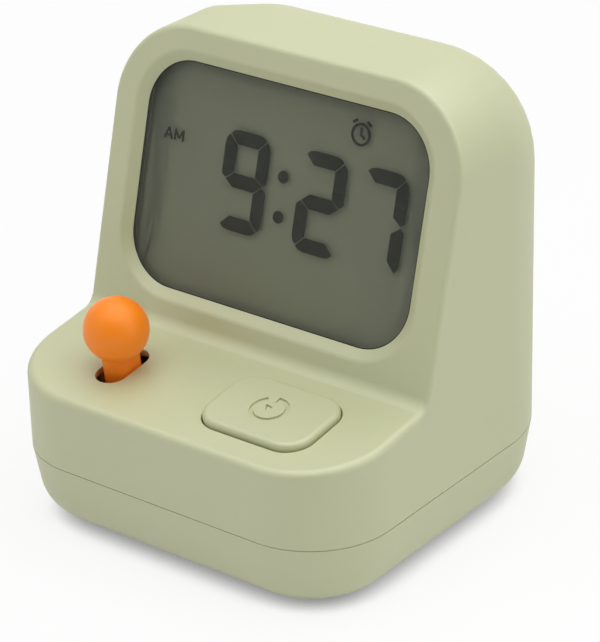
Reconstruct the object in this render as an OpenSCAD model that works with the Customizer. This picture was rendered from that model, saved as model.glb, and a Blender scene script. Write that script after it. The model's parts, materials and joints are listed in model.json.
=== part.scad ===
// Digital alarm clock shaped like a small arcade cabinet, with a lever and a push button on its deck.
// The origin is on the table under the middle of the body. +Z is up and the screen looks towards -Y.

/* [Body] */
// Width of the body
body_w = 66; // [65:0.5:74]
// Depth of the body
body_d = 65.5; // [63:0.5:74]
// Height over all, from the table
body_h = 73.5; // [72.5:0.5:80]
// Wall thickness of the shell and the base cover
wall = 2; // [1.6:0.1:2.2]
// Plan radius of the two front corners
front_r = 14; // [12:0.5:16]
// Plan radius of the two rear corners
rear_r = 19; // [18:0.5:20]
// Radius between the rear wall and the top
rear_top_r = 17.8; // [15:0.2:18]
// Radius between the side walls and the underside
rim_r = 6.4; // [5.5:0.1:8]
// How far the side walls draw in below the seam
rim_in = 0.9; // [0:0.1:1.5]
// Height of the seam between the shell and the base cover
seam_z = 12; // [11.5:0.1:13]
// Open gap of the seam
seam_gap = 0.2; // [0.1:0.05:0.4]
// Height of the lip that the base cover reaches into the shell
lip_h = 2; // [1:0.2:3]
// Thickness of that lip
lip_t = 0.9; // [0.7:0.1:1.2]
// Clearance between that lip and the shell
lip_play = 0.25; // [0.2:0.05:0.4]

/* [Deck] */
// Height of the deck at the front wall
deck_z = 24.6; // [24:0.2:27]
// Rise of the deck towards the screen, in degrees
deck_slope = 7.8; // [5:0.2:9]
// Radius of the deck's outer edge
deck_edge_r = 1.2; // [0.8:0.1:2]

/* [Screen] */
// Distance from the front wall to the screen face, at the middle of the window
face_back = 30; // [29:0.5:32]
// Lean of the screen face to the back, in degrees
screen_lean = 15; // [12:0.5:16]
// Radius of the screen face's top corners and of the top's sides
face_top_r = 13.8; // [13:0.1:16]
// Radius of the edge around the screen face
face_edge_r = 0.8; // [0.6:0.1:2]
// Distance from the body's side to the window
window_side = 6.25; // [6:0.25:9]
// Height of the body's top above the window
window_top = 5.1; // [5:0.1:7]
// Height of the window above the deck's front edge
window_low = 8.8; // [8.7:0.1:11]
// Corner radius of the window
window_r = 8.4; // [6:0.2:9]
// Width of the bevel around the window
bevel_w = 2.6; // [1:0.1:2.8]
// Depth of the bevel at the window's edge
bevel_depth = 0.7; // [0.3:0.1:0.9]

/* [Display] */
// How far the glass reaches past the window at the sides and above
lcd_margin = 0.7; // [0.5:0.1:1]
// How far the rear glass reaches past the window below
lcd_under = 0.8; // [0.6:0.1:1]
// Corner cut of the glass
lcd_cut = 4.5; // [4:0.1:5]
// Depth of the gasket's seat below the screen face
rebate = 1; // [0.9:0.05:1.2]
// Thickness of the gasket
gasket_t = 0.3; // [0.2:0.05:0.5]
// How far the gasket shows inside the window
gasket_show = 0.15; // [0.05:0.05:0.4]
// Thickness of the front film and of the reflector
film_t = 0.15; // [0.1:0.05:0.25]
// Thickness of each glass
glass_t = 0.55; // [0.4:0.05:0.7]
// Gap between the two glasses, filled by the segments
segment_t = 0.1; // [0.05:0.05:0.2]
// Contact ledge by which the front glass reaches below the rear glass
ledge = 2.4; // [2.2:0.1:3]
// Height of a digit, as a share of the window's height
digit_share = 0.436; // [0.3:0.002:0.46]
// Width of a digit, as a share of its height
digit_slim = 0.55; // [0.45:0.01:0.58]
// Width of one bar of a digit
bar_w = 2.25; // [1.6:0.05:2.6]
// Gap between two bars of a digit
bar_gap = 0.22; // [0.1:0.02:0.4]
// Height of the digits' middle above the window's middle
digit_up = 1.25; // [-1:0.05:2]
// Radius of a colon dot
colon_r = 0.97; // [0.6:0.01:1.2]

/* [Lever] */
// Distance of the lever from the middle, to the left
lever_off = 15.9; // [14:0.1:17]
// Distance of the lever from the front wall, along the deck
lever_v = 11.8; // [11.6:0.1:13]
// Width of the slot in the deck
slot_w = 5.2; // [5:0.1:6]
// Length of the slot
slot_l = 10.2; // [10.1:0.1:11]
// Width of the lever's stem
stem_w = 4.3; // [3.8:0.1:4.4]
// Length of the stem, front to back
stem_l = 6.6; // [6:0.1:6.6]
// Diameter of the ball knob
knob_d = 10.3; // [9:0.1:12]
// Height of the ball's middle above the deck
knob_up = 6.7; // [6.6:0.1:9]
// Depth of the pivot below the deck
lever_drop = 7.8; // [7.6:0.1:8]
// Swing of the lever to each side, in degrees
lever_swing = 11; // [6:0.5:11]
// Radius of the pivot pin
axle_r = 1; // [0.8:0.05:1.2]

/* [Button] */
// Distance of the button's middle from the middle of the body, to the right
button_x = 13.1; // [13:0.05:14]
// Distance of the button's middle from the front wall, along the deck
button_v = 12.1; // [12:0.1:13]
// Width of the button
button_w = 19.6; // [16:0.1:20]
// Length of the button, front to back
button_l = 14.1; // [12:0.1:14.4]
// Corner radius of the button
button_r = 4.2; // [3:0.1:5]
// Height of the button above the deck
button_up = 1.1; // [0.8:0.1:1.6]
// Travel of the button
button_travel = 0.6; // [0.3:0.1:0.8]
// Depth of the deck board's upper face below the deck
board_drop = 12.4; // [12.2:0.1:12.6]

/* [Rear] */
// Height of the two rear keys
rear_key_z = 21; // [20:0.5:22]
// Distance of each rear key from the middle
rear_key_x = 8; // [7.5:0.1:8.5]
// Radius of a rear key
rear_key_r = 3; // [2.5:0.1:3.2]
// Travel of a rear key
rear_key_travel = 0.6; // [0.3:0.1:0.8]
// Height of the buzzer's middle
buzzer_z = 42; // [40:0.5:43]
// Radius of the buzzer's disc
buzzer_r = 10; // [8:0.2:10.5]
// Radius of a sound hole
sound_r = 0.8; // [0.5:0.1:1.2]

/* [Battery] */
// Distance of the battery bay behind the middle of the body
battery_y = 5; // [4.6:0.1:5.4]
// Radius of an AAA cell
cell_r = 5.25; // [5:0.05:5.25]
// Length of an AAA cell, with its button
cell_l = 44.5; // [43.5:0.1:44.5]
// Room for a contact spring at each end
contact_room = 3; // [2.6:0.1:3.2]
// Thickness of the battery door
door_t = 1.6; // [1.4:0.1:1.8]
// Height of the feet under the base cover
foot_h = 0.6; // [0.4:0.1:1]
// Radius of a foot
foot_r = 2.4; // [1.8:0.1:2.5]
// Distance from the battery door to the rear feet
foot_margin = 0.75; // [0.5:0.05:1.2]

/* [Hidden] */
$fn = 64;
// Facets of the blended forms outside, and of the rooms inside them
form_fn = 36;
room_fn = 24;
// Smallest radius left on an inside edge
least_r = 0.4;
// Thickness of the slices that a blend spans
thin = 0.2;
// Overshoot of a cut
cut = 1;
// Depth that a boss or rib sinks into its wall
bite = 0.5;
// Clearance of a sliding cap in its hole
play = 0.2;
// Clearance of a shaft that turns or slides in a bore
run = 0.06;
// Clearance of a piece that is fixed in its seat
seat = 0.03;
// Thickness of the circuit boards
board_t = 1.2;
front_y = -body_d / 2;
rear_y = body_d / 2;
shell_z = seam_z + seam_gap / 2;
cover_z = seam_z - seam_gap / 2;
face_y = front_y + face_back;
// Window's middle and size, from the body around it
screen_z = (body_h - window_top + deck_z + window_low) / 2;
window_h = (body_h - window_top - deck_z - window_low) / cos(screen_lean);
window_w = body_w - 2 * window_side;
digit_h = window_h * digit_share;
digit_w = digit_h * digit_slim;
floor_z = foot_h + wall;

sage = "#b4b895";
orange = "#f08030";
black = "#242424";
white = "#e6e4dc";
steel = "#b9bbbd";
board_green = "#2f6b45";
glass_tint = "#9aa59a";
brass = "#c9a24b";
copper = "#b87850";

// Depths below the screen face, from the gasket to the back of the display stack
film_n = -rebate - gasket_t;
front_glass_n = film_n - film_t;
segment_n = front_glass_n - glass_t;
rear_glass_n = segment_n - segment_t;
reflector_n = rear_glass_n - glass_t;
tray_n = min(reflector_n - film_t, -wall - 0.6);
tray_t = 1;
tray_wall = 1.2;
tray_cut = lcd_cut + 0.6;
main_n = tray_n - tray_t - 2.2;
lcd_w = window_w + 2 * lcd_margin;
lcd_h = window_h + lcd_margin + lcd_under + ledge;
lcd_q = (lcd_margin - lcd_under - ledge) / 2;
rear_glass_h = lcd_h - ledge;
rear_glass_q = lcd_q + ledge / 2;
lcd_play = 0.15;
tray_ear_x = 15;
tray_ear_r = 2;
tray_edge_q = lcd_h / 2 + lcd_play + tray_wall;
tray_ear_q = lcd_q - tray_edge_q - tray_ear_r - play;
main_board_cut = 5;
main_screw_in = 7.5;
main_screw_x = lcd_w / 2 - main_screw_in;
main_screw_q = lcd_h / 2 - main_screw_in;
zebra_w = 1.8;
zebra_in = 1;
zebra_l = lcd_w - 2 * (lcd_cut + zebra_in);
zebra_q = lcd_q - lcd_h / 2 + ledge / 2;

// Small screws
screw_r = 0.8;
screw_head_r = 1.55;
screw_head_h = 1;
case_screw_r = 1;
case_head_r = 1.7;
case_head_h = 1.3;

// Posts that the case screws hold
post_r = 3;
post_h = 4;
post_in = 2.6;
post_reach = wall + post_r + post_in;
post_web_t = 2;
column_r = 3.4;
head_seat_z = 7;

// Deck board and what stands on it
deck_reach = face_back;
post_x = -3;
post_front_v = 6;
post_rear_v = 15;
deck_post_r = 2;
deck_board_in = 11;
deck_board_w = body_w - 2 * deck_board_in;
deck_board_front = 2;
deck_board_rear = 21.7;
deck_board_cut = 4;
notch_w = 11;
notch_v = 17.5;
lever_x = -lever_off;
hub_r = 2.4;
arm_l = 8;
arm_under = 1.2;
arm_over = 0.2;
neck_w = 2.2;
neck_l = 4.2;
neck_top = -1.5;
stem_low = hub_r + least_r - lever_drop;
bracket_drop = 4.2;
bracket_t = 1.5;
bracket_boss_x = 6.6;
bracket_boss_r = 1.9;
bracket_w = 2 * (bracket_boss_x + bracket_boss_r);
bracket_l = 11.2;
ear_gap = 0.5;
ear_t = 1.6;
ear_in = stem_w / 2 + ear_gap;
ear_under = 2;
lever_reach = arm_l * sin(lever_swing) + arm_under * cos(lever_swing);
lever_switch_h = board_drop - lever_drop - lever_reach - 0.1;
lever_switch_w = 4.4;
lever_switch_v = arm_l - 0.6;
lever_spring_v = 3.5;
lever_spring_r = 1.1;

// Push switches with a separate plunger
switch_w = 6;
switch_h = 3.5;
plunger_r = 1.7;
plunger_in = 1.2;
flange_t = 1.2;
flange_w = 1;
sign_x = -0.3;
sign_v = 0;
sign_depth = 0.25;
button_flange_top = -wall - seat;
button_flange_low = button_flange_top - flange_t;
button_stem_r = 2;
button_stem_low = button_flange_low - 2;
button_spring_x = 6.6;
button_spring_r = 1.4;
rear_flange_top = wall + seat;
rear_stem_r = 1.6;
rear_stem_low = rear_flange_top + flange_t + 1.3;
rear_board_drop = rear_stem_low + switch_h + 1;
rear_post_up = 4.6;
rear_post_r = 1.9;
rear_board_w = 24;
rear_board_h = 14;
key_recess = 0.2;
buzzer_ring_t = 2;
buzzer_ring_h = 1.5;
buzzer_t = 0.4;

// Battery bay
cell_gap = 0.5;
cell_pitch = 2 * cell_r + cell_gap;
bay_l = cell_pitch + 2 * cell_r + 2 * cell_gap;
contact_t = 0.4;
bay_w = cell_l + 2 * contact_room + 2 * contact_t;
cell_lift = 0.4;
cell_z = foot_h + door_t + cell_lift + cell_r;
bay_top = cell_z + cell_r + 0.3;
bay_wall = 1.4;
door_play = 0.3;
door_w = cell_l + 2;
bead_r = 1.2;
bead_z = foot_h + bead_r;
stub_r = 0.6;
stub_l = 1;
bead_y = battery_y - bay_l / 2 + bead_r + door_play;
door_end_y = battery_y + bay_l / 2 - door_play;
foot_sunk = 0.4;
lead_r = 0.5;
lead_hole_r = 0.8;
plug_w = 10;
plug_l = 4;
plug_t = 2.8;
plug_in = 1.5;
ribbon_w = 8;
ribbon_t = 0.3;

// Frames

// Deck frame: x to the right, y along the deck from the front wall, z square to the deck
module on_deck(x = 0, v = 0, w = 0) {
    translate([0, front_y, deck_z])
        rotate([deck_slope, 0, 0])
            translate([x, v, w])
                children();
}

// Face frame: x to the right, y up the face from the window's middle, z out of the face
module on_face(x = 0, q = 0, n = 0) {
    translate([0, face_y, screen_z])
        rotate([90 - screen_lean, 0, 0])
            translate([x, q, n])
                children();
}

// Rear frame: z runs inwards from the rear wall
module on_rear(x, z, depth = 0) {
    translate([x, rear_y - depth, z])
        rotate([90, 0, 0])
            children();
}

function deck_point(x, v, w) = [
    x,
    front_y + v * cos(deck_slope) - w * sin(deck_slope),
    deck_z + v * sin(deck_slope) + w * cos(deck_slope)
];

function face_point(x, q, n) = [
    x,
    face_y + q * sin(screen_lean) - n * cos(screen_lean),
    screen_z + q * cos(screen_lean) + n * sin(screen_lean)
];

// Flat shapes

module rounded_rect(w, l, r) {
    square([w - 2 * r, l], center = true);
    square([w, l - 2 * r], center = true);
    for (x = [-1, 1], y = [-1, 1])
        translate([x * (w / 2 - r), y * (l / 2 - r)])
            circle(r);
}

module cut_rect(w, l, c) {
    polygon([
        [-w / 2 + c, -l / 2], [w / 2 - c, -l / 2], [w / 2, -l / 2 + c], [w / 2, l / 2 - c],
        [w / 2 - c, l / 2], [-w / 2 + c, l / 2], [-w / 2, l / 2 - c], [-w / 2, -l / 2 + c]
    ]);
}

module stadium(w, l) {
    square([w, l - w], center = true);
    for (s = [-1, 1])
        translate([0, s * (l - w) / 2])
            circle(w / 2);
}

// Plan outline of the body, drawn in by an inset
module plan(inset) {
    polygon([
        [-body_w / 2 + front_r, front_y + inset], [body_w / 2 - front_r, front_y + inset],
        [body_w / 2 - inset, front_y + front_r], [body_w / 2 - inset, rear_y - rear_r],
        [body_w / 2 - rear_r, rear_y - inset], [-body_w / 2 + rear_r, rear_y - inset],
        [-body_w / 2 + inset, rear_y - rear_r], [-body_w / 2 + inset, front_y + front_r]
    ]);
    for (s = [-1, 1]) {
        translate([s * (body_w / 2 - front_r), front_y + front_r])
            circle(front_r - inset);
        translate([s * (body_w / 2 - rear_r), rear_y - rear_r])
            circle(rear_r - inset);
    }
}

// A straight stroke between two points
module stroke(a, b, t) {
    d = b - a;
    translate(a)
        rotate(atan2(d.y, d.x))
            translate([0, -t / 2])
                square([norm(d), t]);
}

// Blended body forms

module ring(major, tube) {
    rotate_extrude()
        translate([major, 0])
            circle(tube, $fn = $fn / 3 * 2);
}

// Upper, outer quarter of a ring on the side of +Y, closed to its axis
module dome(inset) {
    major = rear_r - rear_top_r;
    rotate_extrude(angle = 180) {
        square([major, rear_top_r - inset]);
        translate([major, 0])
            intersection() {
                circle(rear_top_r - inset);
                square(rear_top_r);
            }
    }
}

// Lower, outer quarter of a ring, closed to its axis
module bowl(corner_r, inset) {
    major = corner_r - rim_in - rim_r;
    rotate_extrude() {
        translate([0, inset - rim_r])
            square([major, rim_r - inset]);
        translate([major, 0])
            intersection() {
                circle(rim_r - inset);
                translate([0, -rim_r])
                    square(rim_r);
            }
    }
}

// Deck block above the seam; an inset gives the room inside it
module base_form(inset) {
    $fn = inset > 0 ? room_fn : form_fn;
    e = max(deck_edge_r, inset + least_r);
    low = inset > 0 ? shell_z - cut : shell_z;
    hull()
        for (s = [-1, 1]) {
            translate([s * (body_w / 2 - front_r), front_y + front_r, low])
                cylinder(r = front_r - inset, h = thin);
            on_deck(s * (body_w / 2 - front_r), front_r, -e)
                ring(front_r - e, e - inset);
            on_deck(s * (body_w / 2 - e), deck_reach, -e)
                rotate([-90, 0, 0])
                    cylinder(r = e - inset, h = thin);
            translate([s * (body_w / 2 - e), front_y + deck_reach, low])
                cylinder(r = e - inset, h = thin);
        }
}

// Tower above the seam; an inset gives the room inside it
module tower_form(inset) {
    $fn = inset > 0 ? room_fn : form_fn;
    e = max(face_edge_r, inset + least_r);
    low = inset > 0 ? shell_z - cut : shell_z;
    top_q = (body_h - e - screen_z + e * sin(screen_lean)) / cos(screen_lean);
    foot_y = face_y + (low - screen_z) * tan(screen_lean) + e / cos(screen_lean);
    hull()
        for (s = [-1, 1]) {
            on_face(s * (body_w / 2 - face_top_r), top_q - face_top_r + e, -e)
                ring(face_top_r - e, e - inset);
            translate([s * (body_w / 2 - e), foot_y, low])
                cylinder(r = e - inset, h = thin);
            translate([s * (body_w / 2 - face_top_r), rear_y - rear_r, body_h - face_top_r])
                rotate([90, 0, 0])
                    cylinder(r = face_top_r - inset, h = thin);
            translate([s * (body_w / 2 - rear_r), rear_y - rear_r, body_h - rear_top_r])
                dome(inset);
            translate([s * (body_w / 2 - rear_r), rear_y - rear_r, low])
                cylinder(r = rear_r - inset, h = thin);
        }
}

// Base cover below the seam; an inset gives the room inside it
module cover_form(inset) {
    $fn = inset > 0 ? room_fn : form_fn;
    high = inset > 0 ? cover_z + cut : cover_z;
    hull()
        for (s = [-1, 1]) {
            translate([s * (body_w / 2 - front_r), front_y + front_r, foot_h + rim_r])
                bowl(front_r, inset);
            translate([s * (body_w / 2 - rear_r), rear_y - rear_r, foot_h + rim_r])
                bowl(rear_r, inset);
            translate([s * (body_w / 2 - front_r), front_y + front_r, high - thin])
                cylinder(r = front_r - inset, h = thin);
            translate([s * (body_w / 2 - rear_r), rear_y - rear_r, high - thin])
                cylinder(r = rear_r - inset, h = thin);
        }
}

// Small parts that repeat

// Screw with its head above z = 0 and a cross recess in the head
module screw(shaft_r, shaft_l, head_r, head_h) {
    slot_t = head_r / 4;
    difference() {
        union() {
            cylinder(r = head_r, h = head_h);
            translate([0, 0, -shaft_l])
                cylinder(r = shaft_r, h = shaft_l + head_h / 2);
        }
        for (a = [0, 90])
            rotate(a)
                translate([-head_r * 0.65, -slot_t / 2, head_h / 2])
                    cube([head_r * 1.3, slot_t, head_h]);
    }
}

// Body of a push switch that stands on z = 0, with a blind bore for its plunger
module switch_body(travel) {
    difference() {
        translate([-switch_w / 2, -switch_w / 2, 0])
            cube([switch_w, switch_w, switch_h]);
        translate([0, 0, switch_h - plunger_in - travel - play])
            cylinder(r = plunger_r + run, h = switch_h);
    }
}

// Plunger of that switch, which stands out of it by a height
module switch_plunger(up) {
    translate([0, 0, switch_h - plunger_in])
        cylinder(r = plunger_r, h = plunger_in + up);
}

// One unbroken tube along points; each across vector is square to the path at its point
module tube(points, across, r, sides) {
    last = len(points) - 1;
    ways = [for (i = [0:last]) points[min(i + 1, last)] - points[max(i - 1, 0)]];
    rings = [
        for (i = [0:last], j = [0:sides - 1])
            points[i] + r * (cos(360 * j / sides) * across[i]
                + sin(360 * j / sides) * cross(ways[i] / norm(ways[i]), across[i]))
    ];
    start_cap = [for (j = [1:sides - 2]) [0, j, j + 1]];
    end_cap = [for (j = [1:sides - 2]) [last * sides, last * sides + j + 1, last * sides + j]];
    sides_a = [
        for (i = [0:last - 1], j = [0:sides - 1])
            [i * sides + j, (i + 1) * sides + j, (i + 1) * sides + (j + 1) % sides]
    ];
    sides_b = [
        for (i = [0:last - 1], j = [0:sides - 1])
            [i * sides + j, (i + 1) * sides + (j + 1) % sides, i * sides + (j + 1) % sides]
    ];
    polyhedron(rings, concat(start_cap, end_cap, sides_a, sides_b));
}

// Coil spring between z = 0 and z = h, with 8 rings a curl
module coil(r, h, turns, wire_r) {
    count = 8 * turns;
    angles = [for (i = [0:count]) 360 * turns * i / count];
    rise = (h - 2 * wire_r) / count;
    points = [for (i = [0:count]) [r * cos(angles[i]), r * sin(angles[i]), wire_r + rise * i]];
    across = [for (a = angles) [cos(a), sin(a), 0]];
    gaps = [for (i = [0:count - 8]) norm(points[i + 8] - points[i]) - 2 * wire_r];
    echo(least_coil_gap = min(gaps));
    tube(points, across, wire_r, 6);
}

function bezier(p, t) =
    pow(1 - t, 3) * p[0] + 3 * pow(1 - t, 2) * t * p[1] + 3 * (1 - t) * t * t * p[2] + t * t * t * p[3];

function bezier_way(p, t) =
    pow(1 - t, 2) * (p[1] - p[0]) + 2 * (1 - t) * t * (p[2] - p[1]) + t * t * (p[3] - p[2]);

// Wire on a smooth curve from p[0] to p[3]
module lead(p) {
    count = 12;
    points = [for (i = [0:count]) bezier(p, i / count)];
    ways = [for (i = [0:count]) points[min(i + 1, count)] - points[max(i - 1, 0)]];
    across = [for (w = ways) let (a = cross(w, [0, 1, 0])) a / norm(a)];
    tube(points, across, lead_r, 8);
}

// Place the children at each case screw, with x towards the corner
module at_case_posts() {
    front_k = (front_r - post_reach) / sqrt(2);
    rear_k = (rear_r - post_reach) / sqrt(2);
    for (s = [-1, 1]) {
        translate([s * (body_w / 2 - front_r + front_k), front_y + front_r - front_k, 0])
            rotate(s * -45 + (s < 0 ? 180 : 0))
                children();
        translate([s * (body_w / 2 - rear_r + rear_k), rear_y - rear_r + rear_k, 0])
            rotate(s * 45 + (s < 0 ? 180 : 0))
                children();
    }
}

module at_deck_posts(w) {
    for (v = [post_front_v, post_rear_v])
        on_deck(post_x, v, w)
            children();
}

module at_bracket_bosses(w) {
    for (s = [-1, 1])
        on_deck(lever_x + s * bracket_boss_x, lever_v, w)
            children();
}

module at_tray_ears(n) {
    for (s = [-1, 1])
        on_face(s * tray_ear_x, tray_ear_q, n)
            children();
}

module at_main_screws(n) {
    for (x = [-1, 1], q = [-1, 1])
        on_face(x * main_screw_x, lcd_q + q * main_screw_q, n)
            children();
}

module at_rear_posts(depth) {
    for (s = [-1, 1])
        on_rear(0, rear_key_z + s * rear_post_up, depth)
            children();
}

module at_rear_keys(depth) {
    for (s = [-1, 1])
        on_rear(s * rear_key_x, rear_key_z, depth)
            children();
}

module at_feet() {
    for (s = [-1, 1]) {
        translate([s * (body_w / 2 - front_r - 1.5), front_y + front_r, 0])
            children();
        translate([s * (body_w / 2 - rear_r + 1.5), door_end_y + foot_margin + foot_r, 0])
            children();
    }
}

// Case

module upper_shell() {
    color(sage)
        difference() {
            union() {
                difference() {
                    union() {
                        base_form(0);
                        tower_form(0);
                    }
                    base_form(wall);
                    tower_form(wall);
                }
                at_case_posts() {
                    translate([0, 0, shell_z])
                        cylinder(r = post_r, h = post_h);
                    translate([0, -post_web_t / 2, cover_z + lip_h + 2 * play])
                        cube([post_reach - wall + bite, post_web_t, shell_z + post_h - cover_z - lip_h - 2 * play]);
                }
                at_deck_posts(-board_drop)
                    cylinder(r = deck_post_r, h = board_drop - wall + bite);
                at_bracket_bosses(-bracket_drop)
                    cylinder(r = bracket_boss_r, h = bracket_drop - wall + bite);
                at_tray_ears(tray_n)
                    cylinder(r = tray_ear_r, h = -wall + bite - tray_n);
                at_rear_posts(wall - bite)
                    cylinder(r = rear_post_r, h = rear_board_drop - wall + bite);
                on_rear(0, buzzer_z, wall - bite)
                    difference() {
                        cylinder(r = buzzer_r, h = buzzer_ring_h + bite);
                        translate([0, 0, -cut])
                            cylinder(r = buzzer_r - buzzer_ring_t, h = buzzer_ring_h + bite + 2 * cut);
                    }
            }
            window_cut();
            on_deck(lever_x, lever_v, -wall - cut)
                linear_extrude(wall + 2 * cut)
                    stadium(slot_w, slot_l);
            on_deck(button_x, button_v, -wall - cut)
                linear_extrude(wall + 2 * cut)
                    rounded_rect(button_w + 2 * play, button_l + 2 * play, button_r + play);
            at_rear_keys(-cut)
                cylinder(r = rear_key_r + play, h = wall + 2 * cut);
            for (i = [0:6])
                on_rear(i < 6 ? 4 * cos(60 * i) : 0, buzzer_z + (i < 6 ? 4 * sin(60 * i) : 0), -cut)
                    cylinder(r = sound_r, h = wall + 2 * cut);
            at_case_posts()
                translate([0, 0, shell_z - cut])
                    cylinder(r = case_screw_r + seat, h = post_h + cut - 0.8);
            at_deck_posts(-board_drop - cut)
                cylinder(r = screw_r + seat, h = 5 + cut);
            at_bracket_bosses(-bracket_drop - cut)
                cylinder(r = screw_r + seat, h = 3 + cut);
            at_tray_ears(tray_n - cut)
                cylinder(r = screw_r + seat, h = -0.8 - tray_n + cut);
            at_rear_posts(rear_board_drop - 4)
                cylinder(r = screw_r + seat, h = 4 + cut);
        }
}

// Window with its bevel, and the seat of the display stack behind it
module window_cut() {
    over = 0.2;
    flare = bevel_w * (1 + over / bevel_depth);
    corner_x = window_w / 2 - window_r;
    corner_q = window_h / 2 - window_r;
    on_face(0, 0, -wall - cut)
        linear_extrude(wall + 2 * cut)
            rounded_rect(window_w, window_h, window_r);
    for (x = [-1, 1], q = [-1, 1])
        on_face(x * corner_x, q * corner_q, -bevel_depth)
            cylinder(r1 = window_r, r2 = window_r + flare, h = bevel_depth + over);
    on_face(0, corner_q, 0)
        rotate([90, 0, 0])
            linear_extrude(2 * corner_q)
                bevel_profile(window_w / 2, flare, over);
    on_face(-corner_x, 0, 0)
        rotate([90, 0, 90])
            linear_extrude(2 * corner_x)
                bevel_profile(window_h / 2, flare, over);
    on_face(0, lcd_q, -wall - cut)
        linear_extrude(wall + cut - rebate)
            cut_rect(lcd_w + 2 * lcd_play, lcd_h + 2 * lcd_play, lcd_cut);
}

// Cross section of the bevel through two opposite sides of the window
module bevel_profile(half, flare, over) {
    polygon([[-half, -bevel_depth], [half, -bevel_depth], [half + flare, over], [-half - flare, over]]);
}

module base_cover() {
    lip_in = wall + lip_play;
    color(sage)
        difference() {
            union() {
                difference() {
                    cover_form(0);
                    difference() {
                        cover_form(wall);
                        at_case_posts()
                            cylinder(r = column_r, h = cover_z);
                        bay_block();
                    }
                }
                difference() {
                    union() {
                        translate([0, 0, cover_z - lip_h])
                            linear_extrude(lip_h)
                                difference() {
                                    plan(wall - bite);
                                    plan(lip_in + lip_t);
                                }
                        translate([0, 0, cover_z - lip_h])
                            linear_extrude(2 * lip_h)
                                difference() {
                                    plan(lip_in);
                                    plan(lip_in + lip_t);
                                }
                    }
                    at_case_posts()
                        translate([0, 0, cover_z])
                            cylinder(r = post_r + play, h = 2 * lip_h);
                }
            }
            bay_cut();
            at_case_posts() {
                translate([0, 0, -cut])
                    cylinder(r = case_screw_r + play, h = cover_z + 2 * cut);
                translate([0, 0, -cut])
                    cylinder(r = case_head_r + play, h = head_seat_z + cut);
            }
            at_feet()
                translate([0, 0, foot_h - cut])
                    cylinder(r = foot_r + seat, h = foot_sunk + cut);
            translate([0, door_end_y + door_play, foot_h - cut])
                cylinder(r = 4, h = 0.8 + cut);
        }
}

// Outer block of the battery bay, up to the seat of the cells
module bay_block() {
    translate([-bay_w / 2 - bay_wall, battery_y - bay_l / 2 - bay_wall, 0])
        cube([bay_w + 2 * bay_wall, bay_l + 2 * bay_wall, bay_top + bay_wall]);
}

module bay_cut() {
    door_l = bay_l;
    translate([-bay_w / 2, battery_y - bay_l / 2, floor_z])
        cube([bay_w, bay_l, bay_top - floor_z]);
    translate([-door_w / 2, battery_y - door_l / 2, -cut])
        cube([door_w, door_l, floor_z + 2 * cut]);
    translate([-door_w / 2 - stub_l, bead_y, bead_z])
        rotate([0, 90, 0])
            cylinder(r = stub_r + run, h = door_w + 2 * stub_l);
    for (s = [-1, 1])
        translate([bay_w / 2 - contact_t - lead_r, battery_y + s * cell_pitch / 2, bay_top - cut])
            cylinder(r = lead_hole_r, h = bay_wall + 2 * cut);
}

module battery_door() {
    w = door_w - 2 * door_play;
    color(sage)
        difference() {
            union() {
                translate([-w / 2, bead_y, foot_h])
                    cube([w, door_end_y - bead_y, door_t]);
                translate([-w / 2, bead_y, bead_z])
                    rotate([0, 90, 0])
                        cylinder(r = bead_r, h = w);
                translate([-w / 2 - stub_l, bead_y, bead_z])
                    rotate([0, 90, 0])
                        cylinder(r = stub_r, h = w + 2 * stub_l);
            }
            for (i = [0:3])
                translate([-6, door_end_y - 3 - 1.6 * i, foot_h - cut])
                    cube([12, 0.7, cut + 0.4]);
        }
}

module rubber_feet() {
    color(black)
        at_feet()
            cylinder(r = foot_r, h = foot_h + foot_sunk);
}

module case_screws() {
    color(steel)
        at_case_posts()
            translate([0, 0, head_seat_z])
                rotate([180, 0, 0])
                    screw(case_screw_r, shell_z - head_seat_z + post_h - 1, case_head_r, case_head_h);
}

// Display stack

module lcd_gasket() {
    color(black)
        on_face(0, 0, film_n)
            linear_extrude(gasket_t)
                difference() {
                    translate([0, lcd_q])
                        cut_rect(lcd_w, lcd_h, lcd_cut);
                    rounded_rect(
                        window_w - 2 * gasket_show,
                        window_h - 2 * gasket_show,
                        window_r - gasket_show
                    );
                }
}

module lcd_front_film() {
    color(glass_tint, 0.4)
        on_face(0, lcd_q, front_glass_n)
            linear_extrude(film_t)
                cut_rect(lcd_w, lcd_h, lcd_cut);
}

module lcd_front_glass() {
    color(glass_tint, 0.4)
        on_face(0, lcd_q, segment_n)
            linear_extrude(glass_t)
                cut_rect(lcd_w, lcd_h, lcd_cut);
}

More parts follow.
